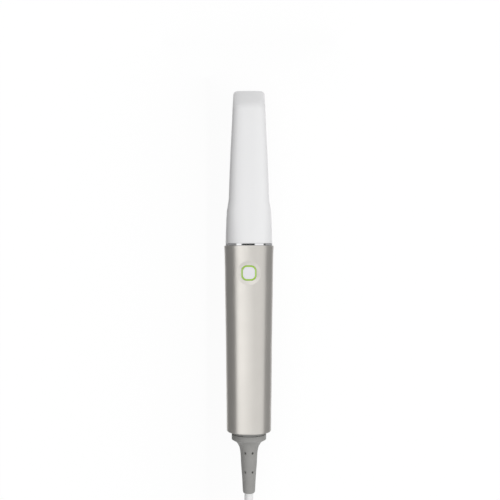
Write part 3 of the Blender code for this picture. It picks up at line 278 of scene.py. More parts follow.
PLUG_LEAD = 0.0025  # where the cable is straight again before the plug
LEAD_STEPS, RISE_STEPS = 10, 8
GROOVE_LAYER = LAYERS - 0.16  # the last run sinks a little between two turns
print("hank from", round(HANK_MIDDLE_Y - HANK_LENGTH / 2, 4), "to", round(HANK_MIDDLE_Y + HANK_LENGTH / 2, 4))

# %% How wide and high a turn lies
def hank_side(along):
    """How far the hank's side is drawn in: its waist times one minus a smooth step along it."""
    flat = HANK_LENGTH / 2 - HANK_FOLD_RADIUS - HANK_WAIST_SPREAD
    return HANK_WAIST * (1 - ease((np.abs(along) - flat) / HANK_WAIST_SPREAD))


def turn_height(layer, along):
    """Height of a turn: loose layers, pressed together where the strap holds them."""
    held = 1 - ease((np.abs(along) - TIE_WIDTH / 2) / HOLD_SPREAD)
    return (1 - held) * (LAYER_Z + layer * LAYER_PITCH) + held * (WAIST_Z + layer * WAIST_PITCH)


print("a turn is drawn in by", hank_side(0.0), "m under the strap")

# %% One turn, and the end that rises to the plug
def turn_points(radius, layer, following, layer_after, begin):
    """Once round the hank: a straight run, the far half circle, the run back, and the near half circle.

    On the near half circle the radius and the layer change to the next turn's by a smooth step that
    starts at the share `begin`.
    """
    straight = np.linspace(HANK_STRAIGHT, -HANK_STRAIGHT, RUN_POINTS)[:-1]
    arc = np.linspace(0, 1, FOLD_POINTS)[:-1]
    x = radius - hank_side(straight)
    height = turn_height(layer, straight)
    out = np.stack([x, HANK_MIDDLE_Y + straight, height], axis=1)
    angle = -math.pi * arc
    y = HANK_MIDDLE_Y - HANK_STRAIGHT + radius * np.sin(angle)
    loose = turn_height(layer, np.full(len(arc), HANK_STRAIGHT))
    far = np.stack([radius * np.cos(angle), y, loose], axis=1)
    back = np.stack([-x, HANK_MIDDLE_Y - straight, height], axis=1)
    moved = ease((arc - begin) / SHIFT_SHARE)
    across = radius + (following - radius) * moved
    angle = math.pi * (1 - arc)
    y = HANK_MIDDLE_Y + HANK_STRAIGHT + across * np.sin(angle)
    rising = LAYER_Z + (layer + (layer_after - layer) * moved) * LAYER_PITCH
    near = np.stack([across * np.cos(angle), y, rising], axis=1)
    return np.concatenate([out, far, back, near])


def end_points(x):
    """The last run, lying in the groove between two turns, and its rise into the plug."""
    along = np.linspace(HANK_STRAIGHT, -END_BEYOND * HANK_STRAIGHT, END_POINTS)
    rest = turn_height(LAYERS - 1, along) + math.sqrt(3) * CABLE_RADIUS
    end = np.stack([x - hank_side(along), HANK_MIDDLE_Y + along, rest], axis=1)
    rise = [
        end[-4], end[-1], (PLUG_X, RELIEF_Y + PLUG_LEAD, PLUG_Z),
        (PLUG_X, RELIEF_Y - RELIEF_LENGTH / 2 + SEAT, PLUG_Z),
    ]
    return np.concatenate([end[:-3], through(rise, RISE_STEPS)[RISE_STEPS:]])


print("one turn has", len(turn_points(TURN_RADII[0], 0, TURN_RADII[1], 0, 0)), "points")

# %% The whole route, and the cable on it
LEAD = [
    (0, BOOT_END_Y + 0.0085, TAIL_Z), (0, BOOT_END_Y, TAIL_Z), (0, BOOT_END_Y - 0.0125, TAIL_Z - 0.0006),
    (0.0035, BOOT_END_Y - 0.0270, 0.0090), (0.0098, BOOT_END_Y - 0.0400, 0.0040),
    (0.0170, BOOT_END_Y - 0.0520, LAYER_Z), (0.0215, BOOT_END_Y - 0.0640, LAYER_Z),
]
places = [
    (radius, layer) for layer in range(LAYERS) for radius in TURN_RADII[:: 1 if layer % 2 == 0 else -1]
]
places.append((HANK_FOLD_RADIUS - 2 * CABLE_RADIUS, GROOVE_LAYER))
last_turn = len(places) - 2
turns = [
    turn_points(*places[k], *places[k + 1], (last_turn - k) / last_turn * (1 - SHIFT_SHARE))
    for k in range(last_turn + 1)
]
route = np.concatenate([through(LEAD, LEAD_STEPS), *turns, end_points(places[-1][0])])
route = relax(even(route, POINT_SPACING), RELAX_ROUNDS)
cable = add_mesh(
    "free_cable", *tube(route, CABLE_RADIUS, CABLE_SIDES), "handle", ("cord_lead", "cord_hank", "cord_tail")
)

# %% [markdown]
# ## Sections of the wand
# Cut across, the wand is neither a circle nor a rectangle but something between: a flattened oval that
# fits the fingers. A superellipse |x/a|^p + |z/b|^p = 1 gives the whole family with one number, p: 2 is
# an ellipse, and higher values fill the corners. A cube with a bevel and subdivision looks similar, but
# its widths can't be read off. So each piece of the wand is a row of such ovals along Y.

# %% Sections of the wand
HANDLE_HALF_WIDTH = [(0, 0.0164), (0.05, 0.0161), (0.23, 0.0158), (0.51, 0.0153), (0.79, 0.0150), (1, 0.0147)]
HANDLE_TOP = [(0, 0.0342), (0.25, 0.0339), (0.5, 0.0331), (1, HANDLE_TAIL_TOP)]
HANDLE_POWER, UNDERCUT, HANDLE_WALL = 2.4, 0.0003, 0.0015
TIP_HALF_WIDTH = [
    (0, 0.01575), (0.1, 0.01545), (0.2, 0.01495), (0.244, 0.0143), (0.283, 0.01368),
    (0.33, 0.0135), (0.54, 0.0127), (0.79, 0.0115), (1, 0.0106),
]
TIP_BOTTOM = [
    (0, 0.0007), (0.09, 0.0014), (0.15, 0.0029), (0.21, 0.0053),
    (0.27, 0.0073), (0.34, 0.0083), (0.57, 0.0092), (1, 0.0108),
]
TIP_POWER = [(0, 2.5), (0.3, 3.1), (1, 3.2)]
TIP_TOP, TIP_SLOPE, TIP_SLANT = 0.0335, math.radians(3.9), math.radians(45)
TIP_LIP_TOP, TIP_CREASE, TIP_WALL = 0.0161, 0.0026, 0.0015
AROUND = 160  # points round each section
QUARTER = AROUND // 4
print("handle's front is", 2 * HANDLE_HALF_WIDTH[0][1], "m wide, its tail", 2 * HANDLE_HALF_WIDTH[-1][1], "m")

# %% The sections' sizes
def handle_size(back):
    """Half width, top and bottom of the handle, a distance back from its front."""
    share = np.asarray(back) / HANDLE_LENGTH
    return smooth(HANDLE_HALF_WIDTH, share), smooth(HANDLE_TOP, share), np.full(np.shape(share), -UNDERCUT)


def tip_size(ahead, inset=0.0):
    """Half width, top and bottom of the tip, a distance ahead of its base.

    The top is the lower of two lines, the sloping crown and the slanted end face, blended by a
    parabola where they cross.
    """
    ahead = np.asarray(ahead, float)
    share = ahead / TIP_LENGTH
    crown = TIP_TOP - math.tan(TIP_SLOPE) * ahead - inset
    slant = TIP_LIP_TOP + math.tan(TIP_SLANT) * (TIP_LENGTH - ahead) - inset / math.cos(TIP_SLANT)
    mix = np.maximum(TIP_CREASE - np.abs(crown - slant), 0) / TIP_CREASE
    top = np.minimum(crown, slant) - mix**2 * TIP_CREASE / 4
    return smooth(TIP_HALF_WIDTH, share) - inset, top, smooth(TIP_BOTTOM, share) + inset


def tip_power(ahead):
    """The superellipse's power there: fuller corners towards the end."""
    return smooth(TIP_POWER, np.asarray(ahead) / TIP_LENGTH)


print("the tip's end is", round(2 * float(tip_size(TIP_LENGTH)[0]), 4), "m wide")

# %% Rings of ovals
def arc_in(left, radius):
    """How far a quarter circle of a radius draws in, a distance before its end."""
    u = 1 - np.clip(np.asarray(left, float) / radius, 0, 1)
    return radius * (1 - np.sqrt(np.maximum(0, 1 - u * u)))


def ovals(size, power, y, floor=None, count=AROUND):
    """Superellipse rings: x = a sgn(cos) |cos|^(2/p), z = middle + b sgn(sin) |sin|^(2/p)."""
    half_width, top, bottom = (np.atleast_1d(v)[:, None] for v in size)
    power = np.broadcast_to(np.atleast_1d(power), (len(np.atleast_1d(y)),))[:, None]
    angle = 2 * math.pi * np.arange(count) / count
    c, s = np.cos(angle)[None], np.sin(angle)[None]
    x = half_width * np.sign(c) * np.abs(c) ** (2 / power)
    z = (top + bottom) / 2 + (top - bottom) / 2 * np.sign(s) * np.abs(s) ** (2 / power)
    if floor is not None:
        z = np.maximum(z, floor)
    y = np.broadcast_to(np.atleast_1d(y)[:, None], x.shape)
    return np.stack([x, y, z], axis=-1)


print("a ring has", ovals(handle_size(0), HANDLE_POWER, 0).shape[1], "points")

# %% [markdown]
# ## Holes in a curved skin
# The button and the scan window are openings with round corners in curved shells. A Boolean could cut
# them, but it leaves long thin faces that shade badly right beside the part of the wand one looks at.
# Here a block of the grid is left open instead and filled with rings that turn, step by step, from the
# block's edge into the opening's outline, each point lifted onto the curved surface. `Skin` gathers
# such grids and rings into one closed mesh.


# %% Holes in a curved skin
def oval_height(x, size, power, side):
    """Height of a superellipse's upper or lower half over x."""
    half_width, top, bottom = size
    fall = np.maximum(1 - (np.abs(x) / half_width) ** power, 0)
    return (top + bottom) / 2 + side * (top - bottom) / 2 * fall ** (1 / power)


def grown(size, by):
    """A section's half width, top and bottom, moved outwards all round."""
    return size[0] + by, size[1] + by, size[2] - by


def rounded(half_x, half_y, corner, steps=12):
    """Outline of a rectangle with quarter circles at its corners, anticlockwise."""
    points = []
    for quarter, (sx, sy) in enumerate([(1, 1), (-1, 1), (-1, -1), (1, -1)]):
        angle = math.pi / 2 * (quarter + np.arange(steps + 1) / steps)
        x = sx * (half_x - corner) + corner * np.cos(angle)
        points.append(np.stack([x, sy * (half_y - corner) + corner * np.sin(angle)], axis=1))
    return np.concatenate(points)


def reach_of(outline, direction):
    """Distance from the middle to an outline in a direction, its straight sides divided finely first."""
    share = np.linspace(0, 1, 24, endpoint=False)[:, None, None]
    outline = (outline + (np.roll(outline, -1, axis=0) - outline) * share).reshape(-1, 2)
    angle = np.arctan2(outline[:, 1], outline[:, 0])
    order = np.argsort(angle)
    return np.interp(direction, angle[order], np.hypot(*outline[order].T), period=2 * math.pi)


def nearest(values, wanted):
    """Index of the value that lies nearest to a wanted one."""
    return int(np.argmin(np.abs(np.asarray(values) - wanted)))


print("a square's outline with round corners has", len(rounded(1, 1, 0.2)), "points")

# %% [markdown]
# ## Skins
# A shell is made of several grids: an outer skin, an inner one, rings round a hole, and lids. Separate
# meshes could be joined and their doubles merged, but merging by distance is a guess. `Skin` keeps all
# points in one list and hands out their numbers, so a face can bridge from one grid to another.

# %% Skins
def settle_normals(made):
    """Turn all faces of a closed mesh outwards."""
    shape = bmesh.new()
    shape.from_mesh(made.data)
    bmesh.ops.recalc_face_normals(shape, faces=shape.faces)
    shape.to_mesh(made.data)
    shape.free()


class Skin:
    """Points and faces gathered into one mesh."""

    def __init__(self):
        self.points, self.faces = [], []

    def add(self, points):
        """Take in points and return the number of the first."""
        points = np.asarray(points, float).reshape(-1, 3)
        start = sum(len(p) for p in self.points)
        self.points.append(points)
        return start

    def grid(self, grid, leave=None):
        """A grid of points with its quads, joined round each row.

        A block, from its first to its last row and from its first to its last column, can be left open.
        """
        rows, columns = grid.shape[:2]
        start = self.add(grid)
        faces = grid_faces(rows, columns, start=start)
        if leave:
            r0, r1, c0, c1 = leave
            r, c = np.divmod(np.arange(len(faces)), columns)
            faces = faces[~((r >= r0) & (r < r1) & (c >= c0) & (c < c1))]
        self.faces += faces.tolist()
        return start

    def bridge(self, first, second):
        """Quads between two closed loops of equal count."""
        first, second = np.asarray(first), np.asarray(second)
        self.faces += np.stack([first, np.roll(first, -1), np.roll(second, -1), second], axis=1).tolist()

    def close(self, start, rows, columns=AROUND):
        """Quads between a grid's first and last rows, so that its profile closes on itself."""
        ring = np.arange(columns)
        self.bridge(start + ring, start + (rows - 1) * columns + ring)

    def lid(self, first, count):
        """One face over a ring of points."""
        self.faces.append(list(range(first, first + count)))

    def build(self, name, body, replaces=()):
        """The finished piece, with its faces turned outwards."""
        made = add_mesh(name, np.concatenate(self.points), self.faces, body, replaces)
        settle_normals(made)
        return made


print("an empty skin has", len(Skin().faces), "faces")

# %% Rings round a hole
RIM_BESIDE = 0.015  # how close to a dish's rim its neighbouring rings lie, as a share of its radius


def fill_hole(skin, start, columns, block, centre, outline, height, dish=0.0, rings=(7, 5)):
    """Fill an open block up to a hole's outline, with rings that lie on the surface's height.

    A ring is the outline plus a share of the way to the block's edge. With a dish, rings also lie
    close on both sides of its rim, so that the rim stays crisp.
    """
    r0, r1, c0, c1 = block
    loop = start + np.concatenate([
        r0 * columns + np.arange(c0, c1), np.arange(r0, r1) * columns + c1,
        r1 * columns + np.arange(c1, c0, -1), np.arange(r1, r0, -1) * columns + c0,
    ])
    edge = np.concatenate(skin.points)[loop][:, :2] - centre
    direction = np.arctan2(edge[:, 1], edge[:, 0])
    unit = np.stack([np.cos(direction), np.sin(direction)], axis=1)
    inner = unit * reach_of(outline, direction)[:, None]
    flat = [inner + (edge - inner) * u for u in np.linspace(0, 1, sum(rings) + 1)[:-1]]
    if dish:
        rim = unit * dish
        near = [inner + (rim - inner) * u for u in np.linspace(0, 1, rings[0] + 1)]
        near.insert(-1, rim * (1 - RIM_BESIDE))
        far = [rim + (edge - rim) * u for u in np.linspace(0, 1, rings[1] + 1)[1:-1]]
        flat = near + [rim * (1 + RIM_BESIDE)] + far
    last = loop
    for ring in flat[::-1]:
        at = ring + centre
        first = skin.add(np.column_stack([at, height(at[:, 0], at[:, 1])]))
        following = first + np.arange(len(loop))
        skin.bridge(last, following)
        last = following
    return last


print("rings beside a rim lie at", 1 - RIM_BESIDE, "and", 1 + RIM_BESIDE, "of its radius")

# %% [markdown]
# ## Handle
# The handle is built as one aluminium tube, blasted to a satin grain. Its front has a shallow
# round dish that lets the thumb find the button without looking. Spinning a profile would give a round
# tube, so the row of ovals is used, an outer skin and an inner one, joined at both ends. The ends are
# drawn in by a small quarter circle, because a real cut edge is always broken and catches a thin light.

# %% Handle
BUTTON_FROM_FRONT, DISH_RADIUS, DISH_DEPTH = 0.0174, 0.0078, 0.0011
BUTTON_Y = HANDLE_FRONT_Y - BUTTON_FROM_FRONT
BUTTON_AT = np.array([0, BUTTON_Y])
LIGHT_HALF, LIGHT_CORNER = 0.00487, 0.0037  # outer outline of the green ring
LIGHT_FIT = 0.00012  # gap between the green ring and its hole
HANDLE_EDGE, EDGE_STEPS, HANDLE_ROWS = 0.00035, 6, 118
BLOCK_REACH, BLOCK_SIDE = 0.0103, 15  # open block round a hole: reach along Y, columns to each side


def dish_height(x, y, lift=0.0):
    """The handle's skin near the button, sunk inside the dish by its depth times one minus a cubic."""
    skin = oval_height(x, handle_size(HANDLE_FRONT_Y - y), HANDLE_POWER, 1)
    share = np.hypot(x, y - BUTTON_Y) / DISH_RADIUS
    return skin + np.where(share < 1, DISH_DEPTH * (share**3 - 1), 0) + lift


def inner_height(x, y):
    """The tube's inner skin over a point."""
    return oval_height(x, grown(handle_size(HANDLE_FRONT_Y - y), -HANDLE_WALL), HANDLE_POWER, 1)


dish_rim, dish_middle = dish_height(0.0, BUTTON_Y + DISH_RADIUS), dish_height(0.0, BUTTON_Y)
print("the dish's rim lies", round(1000 * float(dish_rim - dish_middle), 2), "mm over its middle")

# %% The handle's mesh
def make_handle():
    """Metal tube with softly broken ends, a shallow dish and the button's hole."""
    lip = HANDLE_EDGE * (1 - np.cos(np.linspace(0, math.pi / 2, EDGE_STEPS)))
    middle = np.linspace(HANDLE_EDGE * 1.2, HANDLE_LENGTH - HANDLE_EDGE * 1.2, HANDLE_ROWS)
    backs = np.concatenate([lip[:-1] - SEAM, middle, (HANDLE_LENGTH - lip[:-1])[::-1]])
    drawn_in = np.maximum(arc_in(backs + SEAM, HANDLE_EDGE), arc_in(HANDLE_LENGTH - backs, HANDLE_EDGE))
    outer = ovals(grown(handle_size(backs), -drawn_in), HANDLE_POWER, HANDLE_FRONT_Y - backs)
    outer[..., 2] = np.maximum(outer[..., 2], drawn_in[:, None])
    inner = ovals(grown(handle_size(backs), -HANDLE_WALL), HANDLE_POWER, HANDLE_FRONT_Y - backs)
    inner[..., 2] = np.maximum(inner[..., 2], HANDLE_WALL)
    rows = [nearest(backs, BUTTON_FROM_FRONT + side * BLOCK_REACH) for side in (-1, 1)]
    block = (*rows, QUARTER - BLOCK_SIDE, QUARTER + BLOCK_SIDE)
    hole = rounded(LIGHT_HALF + LIGHT_FIT, LIGHT_HALF + LIGHT_FIT, LIGHT_CORNER)
    skin = Skin()
    start = skin.grid(outer, leave=block)
    top_rim = fill_hole(skin, start, AROUND, block, BUTTON_AT, hole, dish_height, DISH_RADIUS)
    inside = skin.grid(inner, leave=block)
    low_rim = fill_hole(skin, inside, AROUND, block, BUTTON_AT, hole, inner_height)
    skin.bridge(top_rim, low_rim)
    last, ring = (len(backs) - 1) * AROUND, np.arange(AROUND)
    skin.bridge(start + ring, inside + ring)
    skin.bridge(start + last + ring, inside + last + ring)
    return skin.build("handle_shell", "handle", ("housing",))


handle = make_handle()
tell(handle)

# %% [markdown]
# ## Bright ring
# A polished ring closes the joint between tip and handle, and it is what flashes black and white in the
# photograph. A torus is too soft: a turned ring is flat outside, with two tiny rounded edges. Its
# section is therefore a profile, swept round the handle's oval. Two extra points near the edges keep
# the flat's shading flat.

# %% Bright ring
TRIM_HALF_WIDTH, TRIM_TOP, TRIM_BOTTOM, TRIM_THICKNESS = 0.0159, 0.0337, 0.0005, 0.0010
TRIM_EDGE = 0.00012


def make_trim():
    """Bright ring: a section with rounded edges, swept round the oval between tip and handle."""
    half = TRIM_LENGTH / 2
    middle_y = HANDLE_FRONT_Y + SEAT + TRIM_LENGTH / 2
    turn = np.linspace(0, math.pi / 2, 6)
    out = np.concatenate([TRIM_EDGE * (1 - np.sin(turn)), [0, 0], TRIM_EDGE * (1 - np.sin(turn[::-1]))])
    side = np.append(half - TRIM_EDGE + TRIM_EDGE * np.cos(turn), half - 1.3 * TRIM_EDGE)
    across = np.concatenate([side, -side[::-1]])
    out = np.concatenate([[TRIM_THICKNESS], out, [TRIM_THICKNESS]])
    across = np.concatenate([[half], across, [-half]])
    size = (TRIM_HALF_WIDTH - out, TRIM_TOP - out, TRIM_BOTTOM + out)
    skin = Skin()
    start = skin.grid(ovals(size, HANDLE_POWER, middle_y + across))
    skin.close(start, len(across))
    return skin.build("bright_ring", "handle", ("trim_ring",))


trim = make_trim()
tell(trim)

# %% [markdown]
# ## Tip
# The white tip goes into the mouth and is pulled off to be sterilised, so it is one thin moulding with
# no joints. Its end is slanted, because a mirror behind the slant turns the cameras' view down through
# the window underneath. Lofting from the base's oval to the end's fuller one gives its long taper. The
# outer skin ends in quarter circles in plan and in side view, and the window gets a small bevel on both
# faces of the wall.

# %% Tip
CAVITY_END = 0.0034  # what is left solid ahead of the cavity
TIP_CORNER, TIP_EDGE, BASE_EDGE = 0.0026, 0.0011, 0.0003
TIP_SLIMMER = 0.0003  # the drawn side walls are this much thinner than the solid's
TIP_COARSE_TO, TIP_FINE_FROM = 0.08, 0.0804  # the rows lie closer together towards the end
LIP_STEPS, CORNER_STEPS, COARSE_ROWS, FINE_ROWS = 5, 16, 96, 46
WINDOW_HALF_WIDTH, WINDOW_FROM_END, WINDOW_LENGTH, WINDOW_CORNER = 0.0070, 0.0044, 0.0145, 0.0020
WINDOW_BEVEL, WINDOW_MARGINS = 0.00025, (0.0016, 0.0006)  # margins: open block beyond the window
WINDOW_END = TIP_LENGTH - WINDOW_FROM_END
WINDOW_START = WINDOW_END - WINDOW_LENGTH


def underside(inset):
    """A function that gives the height of the tip's underside over x and y, a wall further in."""
    def height(x, y):
        """Height of the underside there: the oval's lower half."""
        ahead = y - TIP_BASE_Y
        return oval_height(x, tip_size(ahead, inset), tip_power(ahead), -1)
    return height


def tip_skins():
    """Where the tip's rows lie, and its outer and inner grids."""
    lip = BASE_EDGE * (1 - np.cos(np.linspace(0, math.pi / 2, LIP_STEPS)))
    corner = TIP_CORNER * (1 - np.cos(np.linspace(0, math.pi / 2, CORNER_STEPS)))
    fine = np.linspace(TIP_FINE_FROM, TIP_LENGTH - TIP_CORNER, FINE_ROWS)[:-1]
    coarse = np.linspace(BASE_EDGE * 1.2, TIP_COARSE_TO, COARSE_ROWS)
    places = np.concatenate([lip[:-1] - SEAM, coarse, fine, TIP_LENGTH - corner[::-1]])
    size = tip_size(places)
    in_plan, in_side = arc_in(TIP_LENGTH - places, TIP_CORNER), arc_in(TIP_LENGTH - places, TIP_EDGE)
    base = arc_in(places + SEAM, BASE_EDGE)
    size = (size[0] - TIP_SLIMMER - in_plan - base, size[1] - in_side - base, size[2] + in_side + base)
    depth = places[places <= TIP_LENGTH - CAVITY_END]
    outer = ovals(size, tip_power(places), TIP_BASE_Y + places)
    return places, outer, ovals(tip_size(depth, TIP_WALL), tip_power(depth), TIP_BASE_Y + depth)


print("the tip has", len(tip_skins()[0]), "rows")

# %% The tip's mesh
def make_tip():
    """Hollow sleeve with a slanted end, round corners in plan and a window underneath."""
    places, outer, inner = tip_skins()
    before, after = WINDOW_MARGINS
    rows = [nearest(places, WINDOW_START - before), nearest(places, WINDOW_END + after)]
    block = (*rows, 3 * QUARTER - BLOCK_SIDE, 3 * QUARTER + BLOCK_SIDE)
    middle = np.array([0, TIP_BASE_Y + (WINDOW_START + WINDOW_END) / 2])
    half = (WINDOW_END - WINDOW_START) / 2
    wide = rounded(WINDOW_HALF_WIDTH + WINDOW_BEVEL, half + WINDOW_BEVEL, WINDOW_CORNER + WINDOW_BEVEL)
    skin = Skin()
    start = skin.grid(outer, leave=block)
    rim = fill_hole(skin, start, AROUND, block, middle, wide, underside(0.0))
    within = skin.grid(inner, leave=block)
    top_rim = fill_hole(skin, within, AROUND, block, middle, wide, underside(TIP_WALL))
    everything = np.concatenate(skin.points)
    loops = []
    for ids, up in ((rim, WINDOW_BEVEL), (top_rim, -WINDOW_BEVEL)):
        at = everything[ids].copy()
        towards = at[:, :2] - middle
        at[:, :2] -= towards / np.linalg.norm(towards, axis=1)[:, None] * WINDOW_BEVEL
        at[:, 2] += up
        first = skin.add(at)
        loops.append(first + np.arange(len(ids)))
        skin.bridge(ids, loops[-1])
    skin.bridge(*loops)
    ring = np.arange(AROUND)
    skin.bridge(start + ring, within + ring)
    skin.lid(start + (len(outer) - 1) * AROUND, AROUND)
    skin.lid(within + (len(inner) - 1) * AROUND, AROUND)
    return skin.build("tip_shell", "tip", ("tip_sleeve",))


tip = make_tip()
tell(tip)

# %% [markdown]
# ## Nose and its seal
# Under the tip is the scanner's real front: a black snout that carries the cameras' glass and guides the
# tip as it slides on. It only shows when the tip is pulled off, but then it is all one looks at. One
# closed profile does it all, out along the outside with a groove for the seal, and back along the bore.
# The rubber ring in the groove is a thin tube carried round the snout's own oval, not a torus, because
# the groove isn't round.

# %% Nose and its seal
NOSE_REACH, NOSE_WALL, NOSE_LEDGE, GLASS_THICKNESS = 0.0534, 0.0013, 0.0006, 0.0012
NOSE_FLANGE_LENGTH, NOSE_RIM = 0.0080, 0.0004
NOSE_SHARES = [0.1, 0.13, 0.16, 0.19, 0.22, 0.245, 0.27, 0.3, 0.34, 0.4, 0.46]
SEAL_RADIUS, SEAL_FROM_BASE, SEAL_PROUD, SEAL_SIDES = 0.0005, 0.0040, 0.0002, 12
SEAL_GROOVE = 2 * SEAL_RADIUS - SEAL_PROUD + SEAT


def nose_ring(ahead, inset, y=None):
    """One oval of the snout: the tip's section, further in by its wall, the sliding gap and an inset."""
    size = tip_size(ahead, TIP_WALL + SLIDE + inset)
    return ovals(size, tip_power(ahead), ahead if y is None else y)[0]


def make_nose():
    """Black snout under the tip: a closed skin out along its outside and back along its bore."""
    places = np.array([share * TIP_LENGTH for share in NOSE_SHARES] + [NOSE_REACH - NOSE_RIM, NOSE_REACH])
    back = -(2 * SEAT + TRIM_LENGTH)
    flange = grown(handle_size(0), -HANDLE_WALL - SEAT)
    flange = (flange[0], flange[1], HANDLE_WALL + SEAT)
    inset = TRIM_THICKNESS + SEAT
    collar = (TRIM_HALF_WIDTH - inset, TRIM_TOP - inset, TRIM_BOTTOM + inset)
    rings = [ovals(flange, HANDLE_POWER, y)[0] for y in (back - NOSE_FLANGE_LENGTH, back)]
    rings += [ovals(collar, HANDLE_POWER, y)[0] for y in (back, -SEAT)]
    rings.append(nose_ring(0, 0, -SEAT))
    half = SEAL_RADIUS + SEAT
    rings += [nose_ring(SEAL_FROM_BASE - half, inset) for inset in (0, SEAL_GROOVE)]
    rings += [nose_ring(SEAL_FROM_BASE + half, inset) for inset in (SEAL_GROOVE, 0)]
    rings += [nose_ring(ahead, 0) for ahead in places[:-1]] + [nose_ring(places[-1], NOSE_RIM)]
    seat_at = NOSE_REACH - GLASS_THICKNESS - SEAT
    rings += [nose_ring(seat_at, NOSE_WALL - NOSE_LEDGE, y) for y in (NOSE_REACH, seat_at)]
    rings.append(nose_ring(seat_at, NOSE_WALL))
    rings += [nose_ring(ahead, NOSE_WALL) for ahead in places[-3:0:-1]]
    throat = SEAL_GROOVE + NOSE_WALL
    ends = (SEAL_FROM_BASE + 3 * half, back - NOSE_FLANGE_LENGTH)
    rings += [nose_ring(SEAL_FROM_BASE, throat, y) for y in ends]
    grid = np.array(rings)
    grid[..., 1] += TIP_BASE_Y
    skin = Skin()
    start = skin.grid(grid)
    skin.close(start, len(rings))
    return skin.build("nose_shell", "handle", ("nose",))


nose = make_nose()
tell(nose)

# %% The seal's mesh
def make_seal():
    """Round rubber ring in the nose's groove: a circle carried round the groove's oval."""
    size = tip_size(SEAL_FROM_BASE, TIP_WALL + SLIDE + SEAL_RADIUS - SEAL_PROUD)
    line = ovals(size, tip_power(0), [TIP_BASE_Y + SEAL_FROM_BASE])[0]
    before, after = np.roll(line, 1, axis=0), np.roll(line, -1, axis=0)
    along = (after - before) / np.linalg.norm(after - before, axis=1)[:, None]
    out = np.cross(along, (0, 1, 0))
    angle = 2 * math.pi * np.arange(SEAL_SIDES) / SEAL_SIDES
    grid = line[:, None] + SEAL_RADIUS * (
        np.cos(angle)[None, :, None] * out[:, None] + np.sin(angle)[None, :, None] * np.array([0, 1, 0])
    )
    skin = Skin()
    skin.grid(np.concatenate([grid, grid[:1]]))
    return skin.build("nose_ring", "handle", ("nose_seal",))


seal = make_seal()
tell(seal)

# %% [markdown]
# ## Button and its light
# The one control is a white cap in a green light guide: a square with such round corners that it is
# almost a circle. Both follow the dished skin around them, so flat extruded shapes would stand out at
# their corners. Each is a stack of outlines, every one lifted onto the dish, and their edges are quarter
# circles. The cap stands a quarter of a millimetre proud, where a fingertip can find it, and it rides on
# its own body, so it goes down when the joint does.

# %% Button and its light
LIGHT_WIDTH, LIGHT_EDGE, LIGHT_DEEP = 0.00080, 0.00013, 0.0030
CAP_FIT, CAP_PROUD, CAP_EDGE, CAP_DEEP = 0.00012, 0.00025, 0.0003, 0.0031


def edge_levels(half, corner, radius, steps=5):
    """Quarter circle over an outer edge, from its side up to its top."""
    turn = np.linspace(0, math.pi / 2, steps)
    inwards, down = radius * (1 - np.cos(turn)), radius * (1 - np.sin(turn))
    return list(zip(half - inwards, corner - inwards, down))


def outline_rings(levels, lift=0.0):
    """Rounded-square rings from (half width, corner, depth), each the dish's height less its depth."""
    rings = []
    for half, corner, drop in levels:
        flat = rounded(half, half, corner, 10)
        z = dish_height(flat[:, 0], flat[:, 1] + BUTTON_Y, lift) - drop
        rings.append(np.column_stack([flat[:, 0], flat[:, 1] + BUTTON_Y, z]))
    return np.array(rings)


print("an edge is drawn in", len(edge_levels(LIGHT_HALF, LIGHT_CORNER, LIGHT_EDGE)), "steps")

# %% The light's mesh
def make_light():
    """Square ring with round corners and softly broken edges, level with the dish."""
    inner, inner_corner = LIGHT_HALF - LIGHT_WIDTH, LIGHT_CORNER - LIGHT_WIDTH
    levels = [(LIGHT_HALF, LIGHT_CORNER, LIGHT_DEEP)] + edge_levels(LIGHT_HALF, LIGHT_CORNER, LIGHT_EDGE)
    inside = edge_levels(inner, inner_corner, -LIGHT_EDGE)[::-1]
    levels += [(half, corner, -drop) for half, corner, drop in inside]
    levels.append((inner, inner_corner, LIGHT_DEEP))
    grid = outline_rings(levels)
    skin = Skin()
    skin.grid(np.concatenate([grid, grid[:1]]))
    return skin.build("light_frame", "handle", ("light_ring",))


light = make_light()
tell(light)

# %% The cap's mesh
def make_cap():
    """Push cap: a dished top with soft edges, standing a little proud of the ring."""
    half = LIGHT_HALF - LIGHT_WIDTH - CAP_FIT
    corner = LIGHT_CORNER - LIGHT_WIDTH - CAP_FIT
    levels = [(half, corner, CAP_DEEP)] + edge_levels(half, corner, CAP_EDGE, 7)
    top, top_corner = levels[-1][:2]
    levels += [(top * u, top_corner * u, 0) for u in (0.93, 0.8, 0.62, 0.42, 0.2)]
    grid = outline_rings(levels, CAP_PROUD)
    skin = Skin()
    start = skin.grid(grid)
    count = grid.shape[1]
    skin.lid(start + (len(levels) - 1) * count, count)
    skin.lid(start, count)
    return skin.build("cap_shell", "button", ("button_cap",))


cap = make_cap()
tell(cap)

# %% [markdown]
# ## Boot
# Where the cable leaves the handle it would soon break, so a rubber boot spreads the bend: a stepped
# collar, a fillet into a long taper, and eight dimples that let it flex. It is round, so it is turned:
# one profile spun about the wand's axis. The Screw modifier could spin it, but the dimples have to be
# sunk into the skin too, and a formula does both. Extra rows lie close together where the dimples are.

